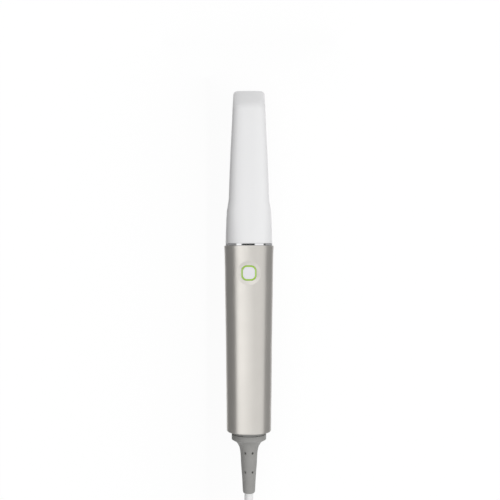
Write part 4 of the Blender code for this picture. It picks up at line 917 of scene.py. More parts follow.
# %% Boot
COLLAR_RADIUS, COLLAR_STEP_RADIUS, COLLAR_STEP, COLLAR_LENGTH = 0.01145, 0.0110, 0.0023, 0.0060
COLLAR_START, COLLAR_EDGE, COLLAR_SOFT, COLLAR_ROUND = -0.0005, 0.0003, 0.0004, 0.0002
COLLAR_GROOVE = [(-0.0003, 0), (-0.0001, -0.0002), (0, -0.0001)]  # from the step: (away, radius)
BOOT_TAPER = [
    (0, 0.01115), (0.05, 0.0085), (0.105, 0.0071), (0.165, 0.00625),
    (0.27, 0.00565), (0.5, 0.0052), (0.75, 0.00455), (1, 0.0041),
]
BOOT_END_RADIUS, BOOT_CHAMFER, BOOT_SIDES, BORE_DEPTH = 0.0034, 0.0018, 280, 0.006
TAPER_LENGTH = BOOT_LENGTH - COLLAR_LENGTH - BOOT_CHAMFER
BORE = CABLE_RADIUS + 0.00005  # the rubber hugs the cable
DIMPLE_RADIUS, DIMPLE_SPREAD, DIMPLE_DEPTH, DIMPLE_FROM_TAIL = 0.00070, 0.0025, 0.0017, (0.0144, 0.0272)
DIMPLE_ROWS = np.arange(-12, 13) * 0.00009  # rows this close together on both sides of a dimple
print("the taper is", round(TAPER_LENGTH, 4), "m long")

# %% Turned pieces
def turned(profile, centre, sides, dents=()):
    """Rings of a turned piece about the wand's length: (distance towards -Y, radius) pairs.

    A dent is (distance, angle from +X, radius, depth): it sinks the skin by a smooth step.
    """
    away, radius = np.array(profile).T
    angle = 2 * math.pi * np.arange(sides) / sides
    r = np.repeat(radius[:, None], sides, axis=1)
    for at, turn, size, depth in dents:
        swing = (angle - turn + math.pi) % (2 * math.pi) - math.pi
        gap = np.hypot(away[:, None] - at, swing[None] * radius[:, None])
        r = r - depth * (1 - ease((gap / size - 0.85) / 0.3))
    x = centre[0] + r * np.cos(angle)
    z = centre[2] + r * np.sin(angle)
    y = np.repeat(centre[1] - away[:, None], sides, axis=1)
    return np.stack([x, y, z], axis=-1)


print("two rings of 8 sides:", turned([(0, 1), (1, 1)], (0, 0, 0), 8).shape)

# %% The boot's profile
def boot_profile():
    """The boot's outline as (distance from the handle's tail, radius) pairs.

    In turn: quarter circles and quarter ellipses round the collar's edges, the taper's curve, and a
    quarter of an ellipse round the end. Then the bore.
    """
    turn = np.linspace(0, math.pi / 2, 5)
    step = COLLAR_STEP_RADIUS
    profile = [(COLLAR_START, BOOT_END_RADIUS), (COLLAR_START, step - COLLAR_EDGE)]
    for t in turn:
        rise = COLLAR_EDGE * math.sin(t)
        profile.append((COLLAR_START + COLLAR_EDGE * (1 - math.cos(t)), step - COLLAR_EDGE + rise))
    profile += [(COLLAR_STEP + away, step + by) for away, by in COLLAR_GROOVE]
    for t in turn:
        rise = (COLLAR_RADIUS - step) * math.sin(t)
        profile.append((COLLAR_STEP + COLLAR_ROUND * (1 - math.cos(t)), step + rise))
    end = COLLAR_LENGTH - COLLAR_SOFT
    for t in turn:
        profile.append((end + COLLAR_SOFT * math.sin(t), COLLAR_RADIUS - COLLAR_SOFT * (1 - math.cos(t))))
    near_dimples = [(DIMPLE_ROWS + at - COLLAR_LENGTH) / TAPER_LENGTH for at in DIMPLE_FROM_TAIL]
    shares = np.unique(np.round(np.concatenate([np.linspace(0, 1, 70) ** 1.6] + near_dimples), 6))
    radii = np.minimum(smooth(BOOT_TAPER, shares), COLLAR_RADIUS - COLLAR_SOFT)
    profile += list(zip(COLLAR_LENGTH + shares * TAPER_LENGTH, radii))
    last = BOOT_TAPER[-1][1]
    for t in turn[1:]:
        drop = (last - BOOT_END_RADIUS) * (1 - math.cos(t))
        profile.append((BOOT_LENGTH - BOOT_CHAMFER * (1 - math.sin(t)), last - drop))
    return profile + [(BOOT_LENGTH, BORE), (BOOT_LENGTH - BORE_DEPTH, BORE)]


print("the boot's profile has", len(boot_profile()), "points")

# %% The boot's dimples
def boot_dimples():
    """Two rows of dimples, each with two on top and two below: (distance, angle, radius, depth)."""
    dents = []
    for at in DIMPLE_FROM_TAIL:
        swing = math.asin(DIMPLE_SPREAD / float(smooth(BOOT_TAPER, (at - COLLAR_LENGTH) / TAPER_LENGTH)))
        angles = [up * math.pi / 2 + side * swing for up in (1, -1) for side in (1, -1)]
        dents += [(at, angle, DIMPLE_RADIUS, DIMPLE_DEPTH) for angle in angles]
    return dents


print("the boot has", len(boot_dimples()), "dimples")

# %% The boot's mesh
def make_boot():
    """Rubber strain relief: a stepped collar, a fillet into a long taper, and eight small dimples."""
    profile = boot_profile()
    skin = Skin()
    start = skin.grid(turned(profile, (0, HANDLE_TAIL_Y, TAIL_Z), BOOT_SIDES, boot_dimples()))
    skin.close(start, len(profile), BOOT_SIDES)
    return skin.build("boot_shell", "handle", ("cable_boot",))


boot = make_boot()
tell(boot)

# %% [markdown]
# ## Tail plate
# A black plate, set one millimetre into the tube, closes the handle round the boot. It could be a cut
# disc, but its edge has to follow the handle's oval and its hole the round boot. So it is a short walk of
# rings: oval, edge, oval, then round at both faces, each with the same count of points.

# %% Tail plate
CAP_RECESS, CAP_THICKNESS, NECK_RADIUS, PLATE_EDGE = 0.0010, 0.0027, 0.0080, 0.0003


def make_rear_cap():
    """Oval plate that closes the handle's tail round the boot."""
    size = grown(handle_size(HANDLE_LENGTH - CAP_RECESS), -HANDLE_WALL - SEAT)
    size = (size[0], size[1], HANDLE_WALL + SEAT)
    outer_y = HANDLE_TAIL_Y + CAP_RECESS
    sizes = [(0, CAP_THICKNESS), (0, PLATE_EDGE), (PLATE_EDGE, 0)]
    rings = [ovals(grown(size, -by), HANDLE_POWER, outer_y + y)[0] for by, y in sizes]
    angle = 2 * math.pi * np.arange(AROUND) / AROUND
    x, z = (NECK_RADIUS + SEAT) * np.cos(angle), TAIL_Z + (NECK_RADIUS + SEAT) * np.sin(angle)
    rings += [np.column_stack([x, np.full(AROUND, outer_y + y), z]) for y in (0, CAP_THICKNESS)]
    skin = Skin()
    skin.grid(np.concatenate([rings, rings[:1]]))
    return skin.build("tail_plate", "handle", ("rear_cap",))


tail = make_rear_cap()
tell(tail)

# %% [markdown]
# ## Strap
# A hook-and-loop strap holds the folded cable at its waist and passes over the loose end. A physics
# cloth would drape it, at a cost. A strap that is pulled tight has one clear path, so here that path is
# written down as places round the turns, rounded by `through`, and a flat section with broken edges is
# carried along it.

# %% Strap
TIE_THICKNESS, TIE_NOTCH, TIE_EDGE = 0.0009, 0.0013, 0.0002
TIE_DRAWN = 0.9 * TIE_THICKNESS  # the band is drawn a little thinner than the solid one
TAIL_X = HANK_FOLD_RADIUS - HANK_WAIST - 2 * CABLE_RADIUS  # where the cable's end passes under it


def strap_line():
    """The strap's path round the turns: a closed line through chosen (x, z) places, seen from the end."""
    waist = HANK_FOLD_RADIUS - HANK_WAIST + SEAT
    bottom, top = TIE_NOTCH - SEAT, HANK_HEIGHT + SEAT
    peak = top + SEAT + 2 * CABLE_RADIUS - 0.0012
    right, left = TAIL_X + CABLE_RADIUS, TAIL_X - CABLE_RADIUS
    places = [
        (0, bottom), (-waist * 0.6, bottom), (-waist * 0.93, bottom + 0.0001), (-waist, bottom + 0.0016),
        (-waist, 0.5 * top), (-waist, top - 0.0018), (-waist * 0.93, top), (-waist * 0.5, top), (0, top),
        (left - 0.0045, top + 0.0004), (left - 0.0012, peak - 0.0024), (left + 0.0016, peak - 0.0002),
        (TAIL_X, peak), (right - 0.0012, peak - 0.0005), (right + 0.0010, peak - 0.0030),
        (waist, top - 0.0020), (waist, 0.5 * top), (waist, bottom + 0.0016), (waist * 0.93, bottom + 0.0001),
        (waist * 0.6, bottom),
    ]
    line = np.insert(np.array(places, float), 1, 0, axis=1)
    return through(np.vstack([line[-1:], line, line[:2]]), 6)[6:-6]


print("the strap's path has", len(strap_line()), "points")

# %% The strap's mesh
def make_strap():
    """Hook-and-loop strap: a flat band bent round the turns and over the cable's end."""
    line = strap_line()
    along = np.gradient(line, axis=0)
    along /= np.linalg.norm(along, axis=1)[:, None]
    out = np.cross(along, (0, 1, 0))
    if np.dot(out[len(out) // 4], line[len(line) // 4] - line.mean(axis=0)) < 0:
        out = -out
    half, thick, edge = TIE_WIDTH / 2, TIE_DRAWN, TIE_EDGE
    section = np.array([
        (-half, edge), (-half + edge, 0), (half - edge, 0), (half, edge),
        (half, thick - edge), (half - edge, thick), (-half + edge, thick), (-half, thick - edge),
    ])
    grid = line[:, None] + out[:, None] * section[None, :, 1:]
    grid[..., 1] += HANK_MIDDLE_Y + section[:, 0]
    skin = Skin()
    skin.grid(grid)
    return skin.build("hank_strap", "handle", ("cord_tie",))


strap = make_strap()
tell(strap)

# %% [markdown]
# ## Plug
# At the far end is a moulded plug. Behind it a grooved relief bends with the cable: it is round, so it
# is turned like the boot, and its grooves are smooth dips in the radius. The grip is a rounded
# rectangle along Y, waisted for the fingers, with fine ribs from a cosine. Modelled ribs stay crisp in
# the exported mesh, where a bump may be lost. The metal shell and black tongue are the plain solids.

# %% Plug
RELIEF_WALL, RELIEF_GROOVES, GROOVE_DEPTH, RELIEF_EDGE, RELIEF_BORE = 0.0009, 3, 0.0004, 0.0004, 0.001
PLUG_HALF_WIDTH, PLUG_LENGTH, PLUG_EDGE, PLUG_CORNER = 0.0080, 0.0200, 0.0009, 0.0028
GRIP_FROM, GRIP_TO, GRIP_EASE, GRIP_WAIST = 0.004, 0.0145, 0.002, 0.0006
RIB_HEIGHT, RIB_PITCH = 0.0002, 0.0017
RELIEF_STEPS, RELIEF_SIDES, GRIP_STEPS = 61, 48, 90


def make_relief():
    """Grooved strain relief behind the plug: a cone with three smooth dips in its radius."""
    slim, wide = CABLE_RADIUS + SEAT + RELIEF_WALL, 0.95 * PLUG_HALF_HEIGHT
    pitch = RELIEF_LENGTH / (RELIEF_GROOVES + 1)
    at = np.linspace(0, RELIEF_LENGTH, RELIEF_STEPS)
    number = np.round(at / pitch)
    beside = np.abs(at / pitch - number) * pitch
    inner = (number > 0) & (number <= RELIEF_GROOVES)
    sunk = GROOVE_DEPTH * (1 - ease((beside - pitch / 5) / (pitch / 8))) * inner
    radius = slim + (wide - slim) * at / RELIEF_LENGTH - sunk - arc_in(at, RELIEF_EDGE)
    profile = [(0, BORE), *zip(at, radius), (RELIEF_LENGTH, RELIEF_BORE)]
    profile += [(RELIEF_LENGTH / 2, RELIEF_BORE), (RELIEF_LENGTH / 2, BORE)]
    grid = turned(profile, (PLUG_X, RELIEF_Y, PLUG_Z), RELIEF_SIDES)
    skin = Skin()
    skin.grid(np.concatenate([grid, grid[:1]]))
    return skin.build("grooved_relief", "handle", ("plug_relief",))


relief = make_relief()
tell(relief)

# %% The plug's grip
def make_plug():
    """Moulded grip: rounded rectangles along Y, waisted by an ease and ribbed by a cosine."""
    ends = np.linspace(0, PLUG_EDGE, 6), np.linspace(PLUG_LENGTH - PLUG_EDGE, PLUG_LENGTH, 6)
    at = np.concatenate([ends[0], np.linspace(0.001, PLUG_LENGTH - 0.001, GRIP_STEPS), ends[1]])
    drawn = np.maximum(arc_in(at, PLUG_EDGE), arc_in(PLUG_LENGTH - at, PLUG_EDGE))
    grip = ease((at - GRIP_FROM) / GRIP_EASE) * (1 - ease((at - GRIP_TO) / GRIP_EASE))
    ribs = RIB_HEIGHT * grip * (0.5 + 0.5 * np.cos(2 * math.pi * at / RIB_PITCH))
    half_width = PLUG_HALF_WIDTH - drawn - GRIP_WAIST * grip + ribs
    flat = np.array([
        rounded(half, PLUG_HALF_HEIGHT - by, PLUG_CORNER - by, 8) for half, by in zip(half_width, drawn)
    ])
    y = np.broadcast_to(RELIEF_Y - RELIEF_LENGTH - SEAT - at[:, None], flat.shape[:2])
    grid = np.stack([PLUG_X + flat[..., 0], y, PLUG_Z + flat[..., 1]], axis=-1)
    skin = Skin()
    start = skin.grid(grid)
    count = grid.shape[1]
    skin.lid(start, count)
    skin.lid(start + (len(at) - 1) * count, count)
    return skin.build("plug_grip", "handle", ("plug_body",))


plug = make_plug()
tell(plug)

# %% [markdown]
# ## The cable's path
# To a simulation the cable isn't a stiff bar but a soft line that leaves the boot and carries the plug.
# The mesh alone can't say so. The cell below only lists the points of the path it lies on, as plain
# numbers.

# %% The cable's path
[tuple(map(float, p)) for p in route]
print("cable carries", relief.name, "and", plug.name)

# %% [markdown]
# ## Shared effects
# No real surface is perfectly even. Moulded plastic and blasted metal have grain, every colour and gloss
# drifts a little, and turned or drawn metal shows fine lines. Image textures could say this, but they
# need pictures and blur close up. Here each effect is a group of noise nodes, built once and placed in
# every material with its own values. All read object coordinates, in metres, so a scale of 4000 gives
# grains of about a quarter of a millimetre.

# %% Shared effects
def new_group(name, inputs, outputs):
    """An empty shader group with float inputs (name, default) and typed outputs."""
    group = bpy.data.node_groups.new(name, "ShaderNodeTree")
    for label, default in inputs:
        socket = group.interface.new_socket(label, in_out="INPUT", socket_type="NodeSocketFloat")
        socket.default_value = default
    for label, kind in outputs:
        group.interface.new_socket(label, in_out="OUTPUT", socket_type=kind)
    return group, group.nodes.new("NodeGroupInput"), group.nodes.new("NodeGroupOutput")


print("node groups so far:", len(bpy.data.node_groups))

# %% Grain
def grain_group():
    """Moulded or blasted grain: two noises, the second four times finer, as one bump."""
    group, given, result = new_group(
        "surface_grain",
        [("Scale", 4000), ("Strength", 0.1), ("Depth", 0.00005)],
        [("Normal", "NodeSocketVector")],
    )
    make, link = group.nodes.new, group.links.new
    place = make("ShaderNodeTexCoord")
    coarse, fine = make("ShaderNodeTexNoise"), make("ShaderNodeTexNoise")
    finer, both, bump = make("ShaderNodeMath"), make("ShaderNodeMath"), make("ShaderNodeBump")
    finer.operation, both.operation = "MULTIPLY", "ADD"
    finer.inputs[1].default_value = 4
    for noise in (coarse, fine):
        noise.inputs["Detail"].default_value = 2
        link(place.outputs["Object"], noise.inputs["Vector"])
    link(given.outputs["Scale"], coarse.inputs["Scale"])
    link(given.outputs["Scale"], finer.inputs[0])
    link(finer.outputs[0], fine.inputs["Scale"])
    link(coarse.outputs["Fac"], both.inputs[0])
    link(fine.outputs["Fac"], both.inputs[1])
    link(both.outputs[0], bump.inputs["Height"])
    link(given.outputs["Strength"], bump.inputs["Strength"])
    link(given.outputs["Depth"], bump.inputs["Distance"])
    link(bump.outputs["Normal"], result.inputs["Normal"])
    return group


GRAIN = grain_group()
print(GRAIN.name, len(GRAIN.nodes), "nodes")

# %% Soft drift
def mottle_group():
    """A value that drifts between Low and High with soft noise, for colour and roughness."""
    group, given, result = new_group(
        "soft_mottle", [("Scale", 60), ("Low", 0), ("High", 1)], [("Value", "NodeSocketFloat")]
    )
    make, link = group.nodes.new, group.links.new
    place, noise, span = make("ShaderNodeTexCoord"), make("ShaderNodeTexNoise"), make("ShaderNodeMapRange")
    noise.inputs["Detail"].default_value = 4
    span.inputs["From Min"].default_value, span.inputs["From Max"].default_value = 0.3, 0.7
    link(place.outputs["Object"], noise.inputs["Vector"])
    link(given.outputs["Scale"], noise.inputs["Scale"])
    link(noise.outputs["Fac"], span.inputs["Value"])
    link(given.outputs["Low"], span.inputs["To Min"])
    link(given.outputs["High"], span.inputs["To Max"])
    link(span.outputs["Result"], result.inputs["Value"])
    return group


MOTTLE = mottle_group()
print(MOTTLE.name, len(MOTTLE.nodes), "nodes")

# %% Brushed lines
def brushed_group():
    """Fine lines along Y: noise squeezed across X and Z, as a value from 0 to 1."""
    group, given, result = new_group("brushed_lines", [("Scale", 3000)], [("Value", "NodeSocketFloat")])
    make, link = group.nodes.new, group.links.new
    place, stretch = make("ShaderNodeTexCoord"), make("ShaderNodeVectorMath")
    noise = make("ShaderNodeTexNoise")
    stretch.operation = "MULTIPLY"
    stretch.inputs[1].default_value = (1, 0.02, 1)
    noise.inputs["Detail"].default_value = 3
    link(place.outputs["Object"], stretch.inputs[0])
    link(stretch.outputs[0], noise.inputs["Vector"])
    link(given.outputs["Scale"], noise.inputs["Scale"])
    link(noise.outputs["Fac"], result.inputs["Value"])
    return group


BRUSHED = brushed_group()
print(BRUSHED.name, len(BRUSHED.nodes), "nodes")

# %% [markdown]
# ## What a finish is
# Every finish here is one Principled shader plus some of the shared effects. A plain function could
# return the material, but a small class lets a finish be written as a sentence: colour, roughness, then
# grain, then unevenness, then a colour to drift to. Numbers that are the same all over the surface go
# straight to the shader's own sockets, where an exporter finds them.

# %% What a finish is
class Finish:
    """A Principled material with helpers for the shared groups."""

    def __init__(self, name, color, roughness, metallic=0.0, **sockets):
        self.material = bpy.data.materials.new(name)
        self.material.use_nodes = True
        self.nodes, self.links = self.material.node_tree.nodes, self.material.node_tree.links
        self.shader = self.nodes["Principled BSDF"]
        self.shader.inputs["Base Color"].default_value = (*color, 1)
        self.shader.inputs["Roughness"].default_value = roughness
        self.shader.inputs["Metallic"].default_value = metallic
        for label, value in sockets.items():
            self.shader.inputs[label.replace("_", " ")].default_value = value
        self.color = color

    def node(self, kind, **values):
        """A new node of this kind, with these values on its sockets."""
        made = self.nodes.new(f"ShaderNode{kind}")
        for label, value in values.items():
            made.inputs[label.replace("_", " ")].default_value = value
        return made

    def group(self, group, **values):
        """A shared effect, with its own values."""
        node = self.nodes.new("ShaderNodeGroup")
        node.node_tree = group
        for label, value in values.items():
            node.inputs[label].default_value = value
        return node

    def grain(self, scale, strength, depth=0.00005):
        """Fine bumps: how many to the metre, how strong, and how deep in metres."""
        node = self.group(GRAIN, Scale=scale, Strength=strength, Depth=depth)
        self.links.new(node.outputs["Normal"], self.shader.inputs["Normal"])
        return self

    def uneven(self, low, high, scale=90):
        """Roughness that drifts between two values."""
        node = self.group(MOTTLE, Scale=scale, Low=low, High=high)
        self.links.new(node.outputs["Value"], self.shader.inputs["Roughness"])
        return self

    def drift(self, other, scale=60, source=None):
        """Base colour that drifts softly towards another one."""
        mix = self.nodes.new("ShaderNodeMix")
        mix.data_type = "RGBA"
        mix.inputs["A"].default_value, mix.inputs["B"].default_value = (*self.color, 1), (*other, 1)
        if source is None:
            source = self.group(MOTTLE, Scale=scale, Low=0, High=1).outputs["Value"]
        self.links.new(source, mix.inputs["Factor"])
        self.links.new(mix.outputs["Result"], self.shader.inputs["Base Color"])
        return self


print("a finish starts as a", bpy.types.ShaderNodeBsdfPrincipled.bl_rna.name)

# %% [markdown]
# ## Satin metal
# The handle is blasted and anodised aluminium, a warm silver that spreads its highlights wide. Grey
# paint would hardly show what stands beside it, and the photograph's darker sides are just that. So it
# is fully metallic, of middle roughness, with a very fine grain.

# %% Satin metal
SATIN_METAL = Finish("satin_metal", (0.70, 0.675, 0.635), 0.36, metallic=1.0)
SATIN_METAL.grain(5200, 0.10).uneven(0.33, 0.39).drift((0.68, 0.655, 0.615))
print(SATIN_METAL.material.name, "color", SATIN_METAL.color)

# %% [markdown]
# ## White plastics
# The tip is smooth moulded plastic with a faint gloss, which a thin clear coat gives better than a lower
# roughness would. The cap is a little bluer and duller, since it is touched all day. Neither is written
# as pure white: real white plastic reflects about four fifths of the light.

# %% White plastics
WHITE_SHELL = Finish("white_shell", (0.785, 0.785, 0.79), 0.34, Coat_Weight=0.15, Coat_Roughness=0.12)
WHITE_SHELL.grain(2600, 0.03).uneven(0.31, 0.38).drift((0.775, 0.775, 0.781), 40)
CAP_WHITE = Finish("cap_white", (0.745, 0.74, 0.77), 0.42)
CAP_WHITE.grain(9000, 0.05).uneven(0.38, 0.46, 500).drift((0.73, 0.725, 0.75), 400)
print(WHITE_SHELL.material.name, CAP_WHITE.material.name)

# %% [markdown]
# ## Bright ring
# The ring is polished and plated, and shows the studio in crisp bands. A painted gradient could fake the
# bands from one side only. A nearly smooth metal mirrors what stands round it from every side, so the
# bands come from the cards in the studio below.

# %% Bright ring
BRIGHT_TRIM = Finish("bright_trim", (0.93, 0.93, 0.94), 0.04, metallic=1.0)
BRIGHT_TRIM.uneven(0.03, 0.07, 400).drift((0.90, 0.90, 0.91), 300)
print(BRIGHT_TRIM.material.name, "color", BRIGHT_TRIM.color)

# %% [markdown]
# ## Rubber, cable and black plastic
# The boot is grey rubber and the seal black rubber, both dull and grainy. The cable's jacket is smoother
# and paler. Nose, plug, tail plate, lens barrels and chips are black moulded plastic. Each could have
# a cell of its own, but they differ only in tone, grain and roughness, so a table says all of it.

# %% Rubber, cable and black plastic
# name: (colour, roughness, grain scale and strength, uneven low, high and scale, drift colour and scale)
SOFT_FINISHES = {
    "boot_rubber": (
        (0.305, 0.302, 0.291), 0.55, (5000, 0.25), (0.48, 0.62, 300), ((0.285, 0.282, 0.271), 160)
    ),
    "cable_jacket": ((0.80, 0.80, 0.80), 0.42, (3000, 0.12), (0.36, 0.48, 200), ((0.78, 0.78, 0.78), 120)),
    "black_polymer": (
        (0.020, 0.020, 0.021), 0.45, (4200, 0.22), (0.38, 0.52, 200), ((0.028, 0.028, 0.029), 150)
    ),
    "seal_rubber": ((0.014, 0.014, 0.014), 0.6, (6000, 0.2), (0.5, 0.68, 400), ((0.02, 0.02, 0.02), 300)),
}
BOOT_RUBBER, CABLE_JACKET, BLACK_POLYMER, SEAL_RUBBER = (
    Finish(name, color, roughness).grain(*grain).uneven(*uneven).drift(*drift)
    for name, (color, roughness, grain, uneven, drift) in SOFT_FINISHES.items()
)
print("soft finishes:", *SOFT_FINISHES)

# %% [markdown]
# ## Bare metals
# The optics' carrier, the inner frame and the heat sink are bare aluminium. The screws, the shield over
# the chips and the plug's shell are bright steel. Tools leave fine lines on such metal. A bump could
# carve them, but at this size they only change the tone, so the shared lines steer the colour between
# two greys.

# %% Bare metals
BARE_ALUMINIUM = Finish("bare_aluminium", (0.66, 0.67, 0.68), 0.35, metallic=1.0).grain(3000, 0.08)
STEEL = Finish("bright_steel", (0.56, 0.56, 0.56), 0.28, metallic=1.0).grain(5000, 0.05)
for finish, low, high in ((BARE_ALUMINIUM, (0.56, 0.57, 0.58), 0.45), (STEEL, (0.46, 0.46, 0.46), 0.38)):
    lines = finish.group(BRUSHED, Scale=3500).outputs["Value"]
    finish.drift(low, source=lines)
    finish.uneven(0.25, high, 700)
print(BARE_ALUMINIUM.material.name, STEEL.material.name)

# %% [markdown]
# ## Glass and mirror
# Lenses and the nose's window are coated glass, dark with a violet cast. They could be made see-through,
# but it is dark behind them, so a dark glossy surface with a clear coat looks much the same and
# renders without noise. The mirror in the tip is a nearly perfect one.

# %% Glass and mirror
COATED_GLASS = Finish("coated_glass", (0.10, 0.12, 0.17), 0.03, IOR=1.52, Coat_Weight=0.6)
COATED_GLASS.drift((0.13, 0.10, 0.19), 60).uneven(0.02, 0.06, 200)
FRONT_MIRROR = Finish("front_mirror", (0.93, 0.93, 0.95), 0.02, metallic=1.0)
FRONT_MIRROR.uneven(0.01, 0.03, 100).drift((0.91, 0.91, 0.94), 60)
print(COATED_GLASS.material.name, FRONT_MIRROR.material.name)

# %% [markdown]
# ## Green light
# The ring round the button is a clear green guide, lit from below. A glowing material alone looks flat,
# so most of its colour is painted and only a quarter glows. Where the light leaks, far left and far
# right, it is paler: the colour is mixed by the distance from the wand's middle.

# %% Green light
LEAK_FROM, LEAK_TO = 0.0042, 0.0051  # distance from the middle, in metres


def make_light_finish():
    """Lit green ring: the plain colour, drifting to a paler one with the distance from the middle."""
    finish = Finish("lit_guide", (0.285, 0.50, 0.035), 0.35, Emission_Strength=0.25)
    link, place, split = finish.links.new, finish.node("TexCoord"), finish.node("SeparateXYZ")
    away = finish.node("Math")
    away.operation = "ABSOLUTE"
    span = finish.node("MapRange", From_Min=LEAK_FROM, From_Max=LEAK_TO, To_Min=0.0, To_Max=1.0)
    link(place.outputs["Object"], split.inputs[0])
    link(split.outputs["X"], away.inputs[0])
    link(away.outputs[0], span.inputs["Value"])
    finish.drift((0.50, 0.66, 0.28), source=span.outputs["Result"])
    mixed = finish.shader.inputs["Base Color"].links[0].from_socket
    link(mixed, finish.shader.inputs["Emission Color"])
    return finish.grain(9000, 0.04)


LIT_GUIDE = make_light_finish()
print(LIT_GUIDE.material.name, "glows at", LIT_GUIDE.shader.inputs["Emission Strength"].default_value)

# %% [markdown]
# ## Strap fabric
# The strap's outside is a mat of tiny loops. Real loops by the thousand would be heavy, so a Voronoi
# pattern stands for them: its distance gives each loop its dome, as a bump, and its paler rim. A sheen
# gives the soft bright edge of fibres.

# %% Strap fabric
def make_strap_finish():
    """Hook-and-loop strap: the distance to the nearest of many scattered points is a loop's dome."""
    finish = Finish("loop_strap", (0.022, 0.022, 0.024), 0.85, Sheen_Weight=0.4, Sheen_Roughness=0.5)
    link, place = finish.links.new, finish.node("TexCoord")
    loops, bump = finish.node("TexVoronoi", Scale=2200), finish.node("Bump", Strength=0.8, Distance=0.0002)
    link(place.outputs["Object"], loops.inputs["Vector"])
    link(loops.outputs["Distance"], bump.inputs["Height"])
    link(bump.outputs["Normal"], finish.shader.inputs["Normal"])
    return finish.drift((0.05, 0.05, 0.055), source=loops.outputs["Distance"])


LOOP_STRAP = make_strap_finish()
print(LOOP_STRAP.material.name, "color", LOOP_STRAP.color)

# %% [markdown]
# ## Circuit boards
# The boards are green laminate with copper tracks under the varnish. Drawing the tracks would take a
# picture, so a brick pattern stands for them: its mortar makes thin, evenly laid lines, a little lighter
# than the ground. A clear coat is the varnish.

# %% Circuit boards
def make_board_finish():
    """Green laminate with lighter tracks: the thin mortar lines of a brick pattern."""
    finish = Finish("board_laminate", (0.012, 0.085, 0.035), 0.32, Coat_Weight=0.4)
    black, white = (0, 0, 0, 1), (1, 1, 1, 1)
    place, tracks = finish.node("TexCoord"), finish.node("TexBrick", Scale=420, Mortar_Size=0.035)
    for label, value in (("Color1", black), ("Color2", black), ("Mortar", white)):
        tracks.inputs[label].default_value = value
    finish.links.new(place.outputs["Object"], tracks.inputs["Vector"])
    finish.drift((0.03, 0.20, 0.09), source=tracks.outputs["Fac"])
    return finish.uneven(0.28, 0.40, 300)


BOARD = make_board_finish()
print(BOARD.material.name, "color", BOARD.color)

# %% [markdown]
# ## Dressing the pieces
# Each new piece gets its finish here. The plain solids could be dressed one by one, but the record
# names a material for each already, so one loop dresses them all from a table.

# %% Dressing the pieces
def dress(thing, finish, slot):
    """Give a piece or a CAD node its finish; the slot argument is not used."""
    thing.data.materials.clear()
    thing.data.materials.append(finish.material)


WORN = [
    (handle, SATIN_METAL, "satin_silver"), (trim, BRIGHT_TRIM, "polished_trim"),
    (tip, WHITE_SHELL, "white_polymer"), (nose, BLACK_POLYMER, "black_polymer"),
    (seal, SEAL_RUBBER, "seal_rubber"), (light, LIT_GUIDE, "green_light"), (cap, CAP_WHITE, "white_polymer"),
    (boot, BOOT_RUBBER, "grey_rubber"), (tail, BLACK_POLYMER, "black_polymer"),
    (strap, LOOP_STRAP, "seal_rubber"), (relief, BLACK_POLYMER, "black_polymer"),
    (plug, BLACK_POLYMER, "black_polymer"), (cable, CABLE_JACKET, "cable_jacket"),
]
for thing, finish, slot in WORN:
    dress(thing, finish, slot)
print(len(WORN), "new pieces are dressed")

# %% Finishes of the plain solids
FINISH_OF_SLOT = {
    "coated_glass": COATED_GLASS,
    "front_mirror": FRONT_MIRROR,
    "bare_aluminium": BARE_ALUMINIUM,
    "bright_steel": STEEL,
    "board_laminate": BOARD,
    "black_polymer": BLACK_POLYMER,
    "white_polymer": WHITE_SHELL,
    "seal_rubber": SEAL_RUBBER,
    "cable_jacket": CABLE_JACKET,
    "satin_silver": SATIN_METAL,
    "polished_trim": BRIGHT_TRIM,
    "green_light": LIT_GUIDE,
    "grey_rubber": BOOT_RUBBER,
}
for part in frame["record"]["subparts"]:
    dress(nodes[part["node"]], FINISH_OF_SLOT[part["material_slot"]], part["material_slot"])

# %% [markdown]
# ## Studio light
# The photograph was taken in soft, even light with its main source at the upper left. Many small lamps
# could do it, but one large one gives the same soft shading with less noise. So there is a pale world on
# all sides, one big soft lamp, and a weaker one at the right that metal doesn't mirror. A lamp's power
# is worked out from its size, so that a plain colour renders about as it is written.

# %% Studio light
WORLD_LEVEL = 0.90
SOFTBOX_AT, SOFTBOX_SIZE, SOFTBOX_LEVEL = (-0.46, 0.30, 1.08), (1.0, 1.6), 0.44
SIDE_FILL_AT, SIDE_FILL_SIZE, SIDE_FILL_LEVEL = (0.95, 0.0, 0.55), (0.9, 1.4), 0.50


def make_world():
    """One even pale level from every side, the same to every ray."""
    world = bpy.data.worlds.new("studio")
    world.use_nodes = True
    bpy.context.scene.world = world
    world.node_tree.nodes["Background"].inputs["Color"].default_value = (WORLD_LEVEL,) * 3 + (1,)


def make_lamp(name, at, size, level):
    """Rectangular soft lamp aimed at the wand; its power is pi times area times radiance."""
    light = bpy.data.lights.new(name, "AREA")
    light.shape, light.size, light.size_y = "RECTANGLE", size[0], size[1]
    light.energy = math.pi * size[0] * size[1] * level
    lamp = bpy.data.objects.new(name, light)
    lamp.location = at
    back = np.array(at) / np.linalg.norm(at)
    lamp.rotation_euler = (0, math.atan2(back[0], back[2]), 0)
    bpy.context.scene.collection.objects.link(lamp)
    return lamp


make_world()
softbox = make_lamp("softbox", SOFTBOX_AT, SOFTBOX_SIZE, SOFTBOX_LEVEL)
side_fill = make_lamp("side_fill", SIDE_FILL_AT, SIDE_FILL_SIZE, SIDE_FILL_LEVEL)
side_fill.visible_glossy = False
print("lamps:", softbox.name, round(softbox.data.energy, 2), side_fill.name, round(side_fill.data.energy, 2))

# %% [markdown]
# ## Cards beside the wand
# A satin cylinder looks flat in even light. Photographers stand cards at both sides, and their edges
# draw the two darker lines along the handle. Painting those lines onto the metal would stick them there
# in every view. So two upright cards stand along the handle and a third before the tip, all unseen by
# the camera, and each gives off one plain level of grey.

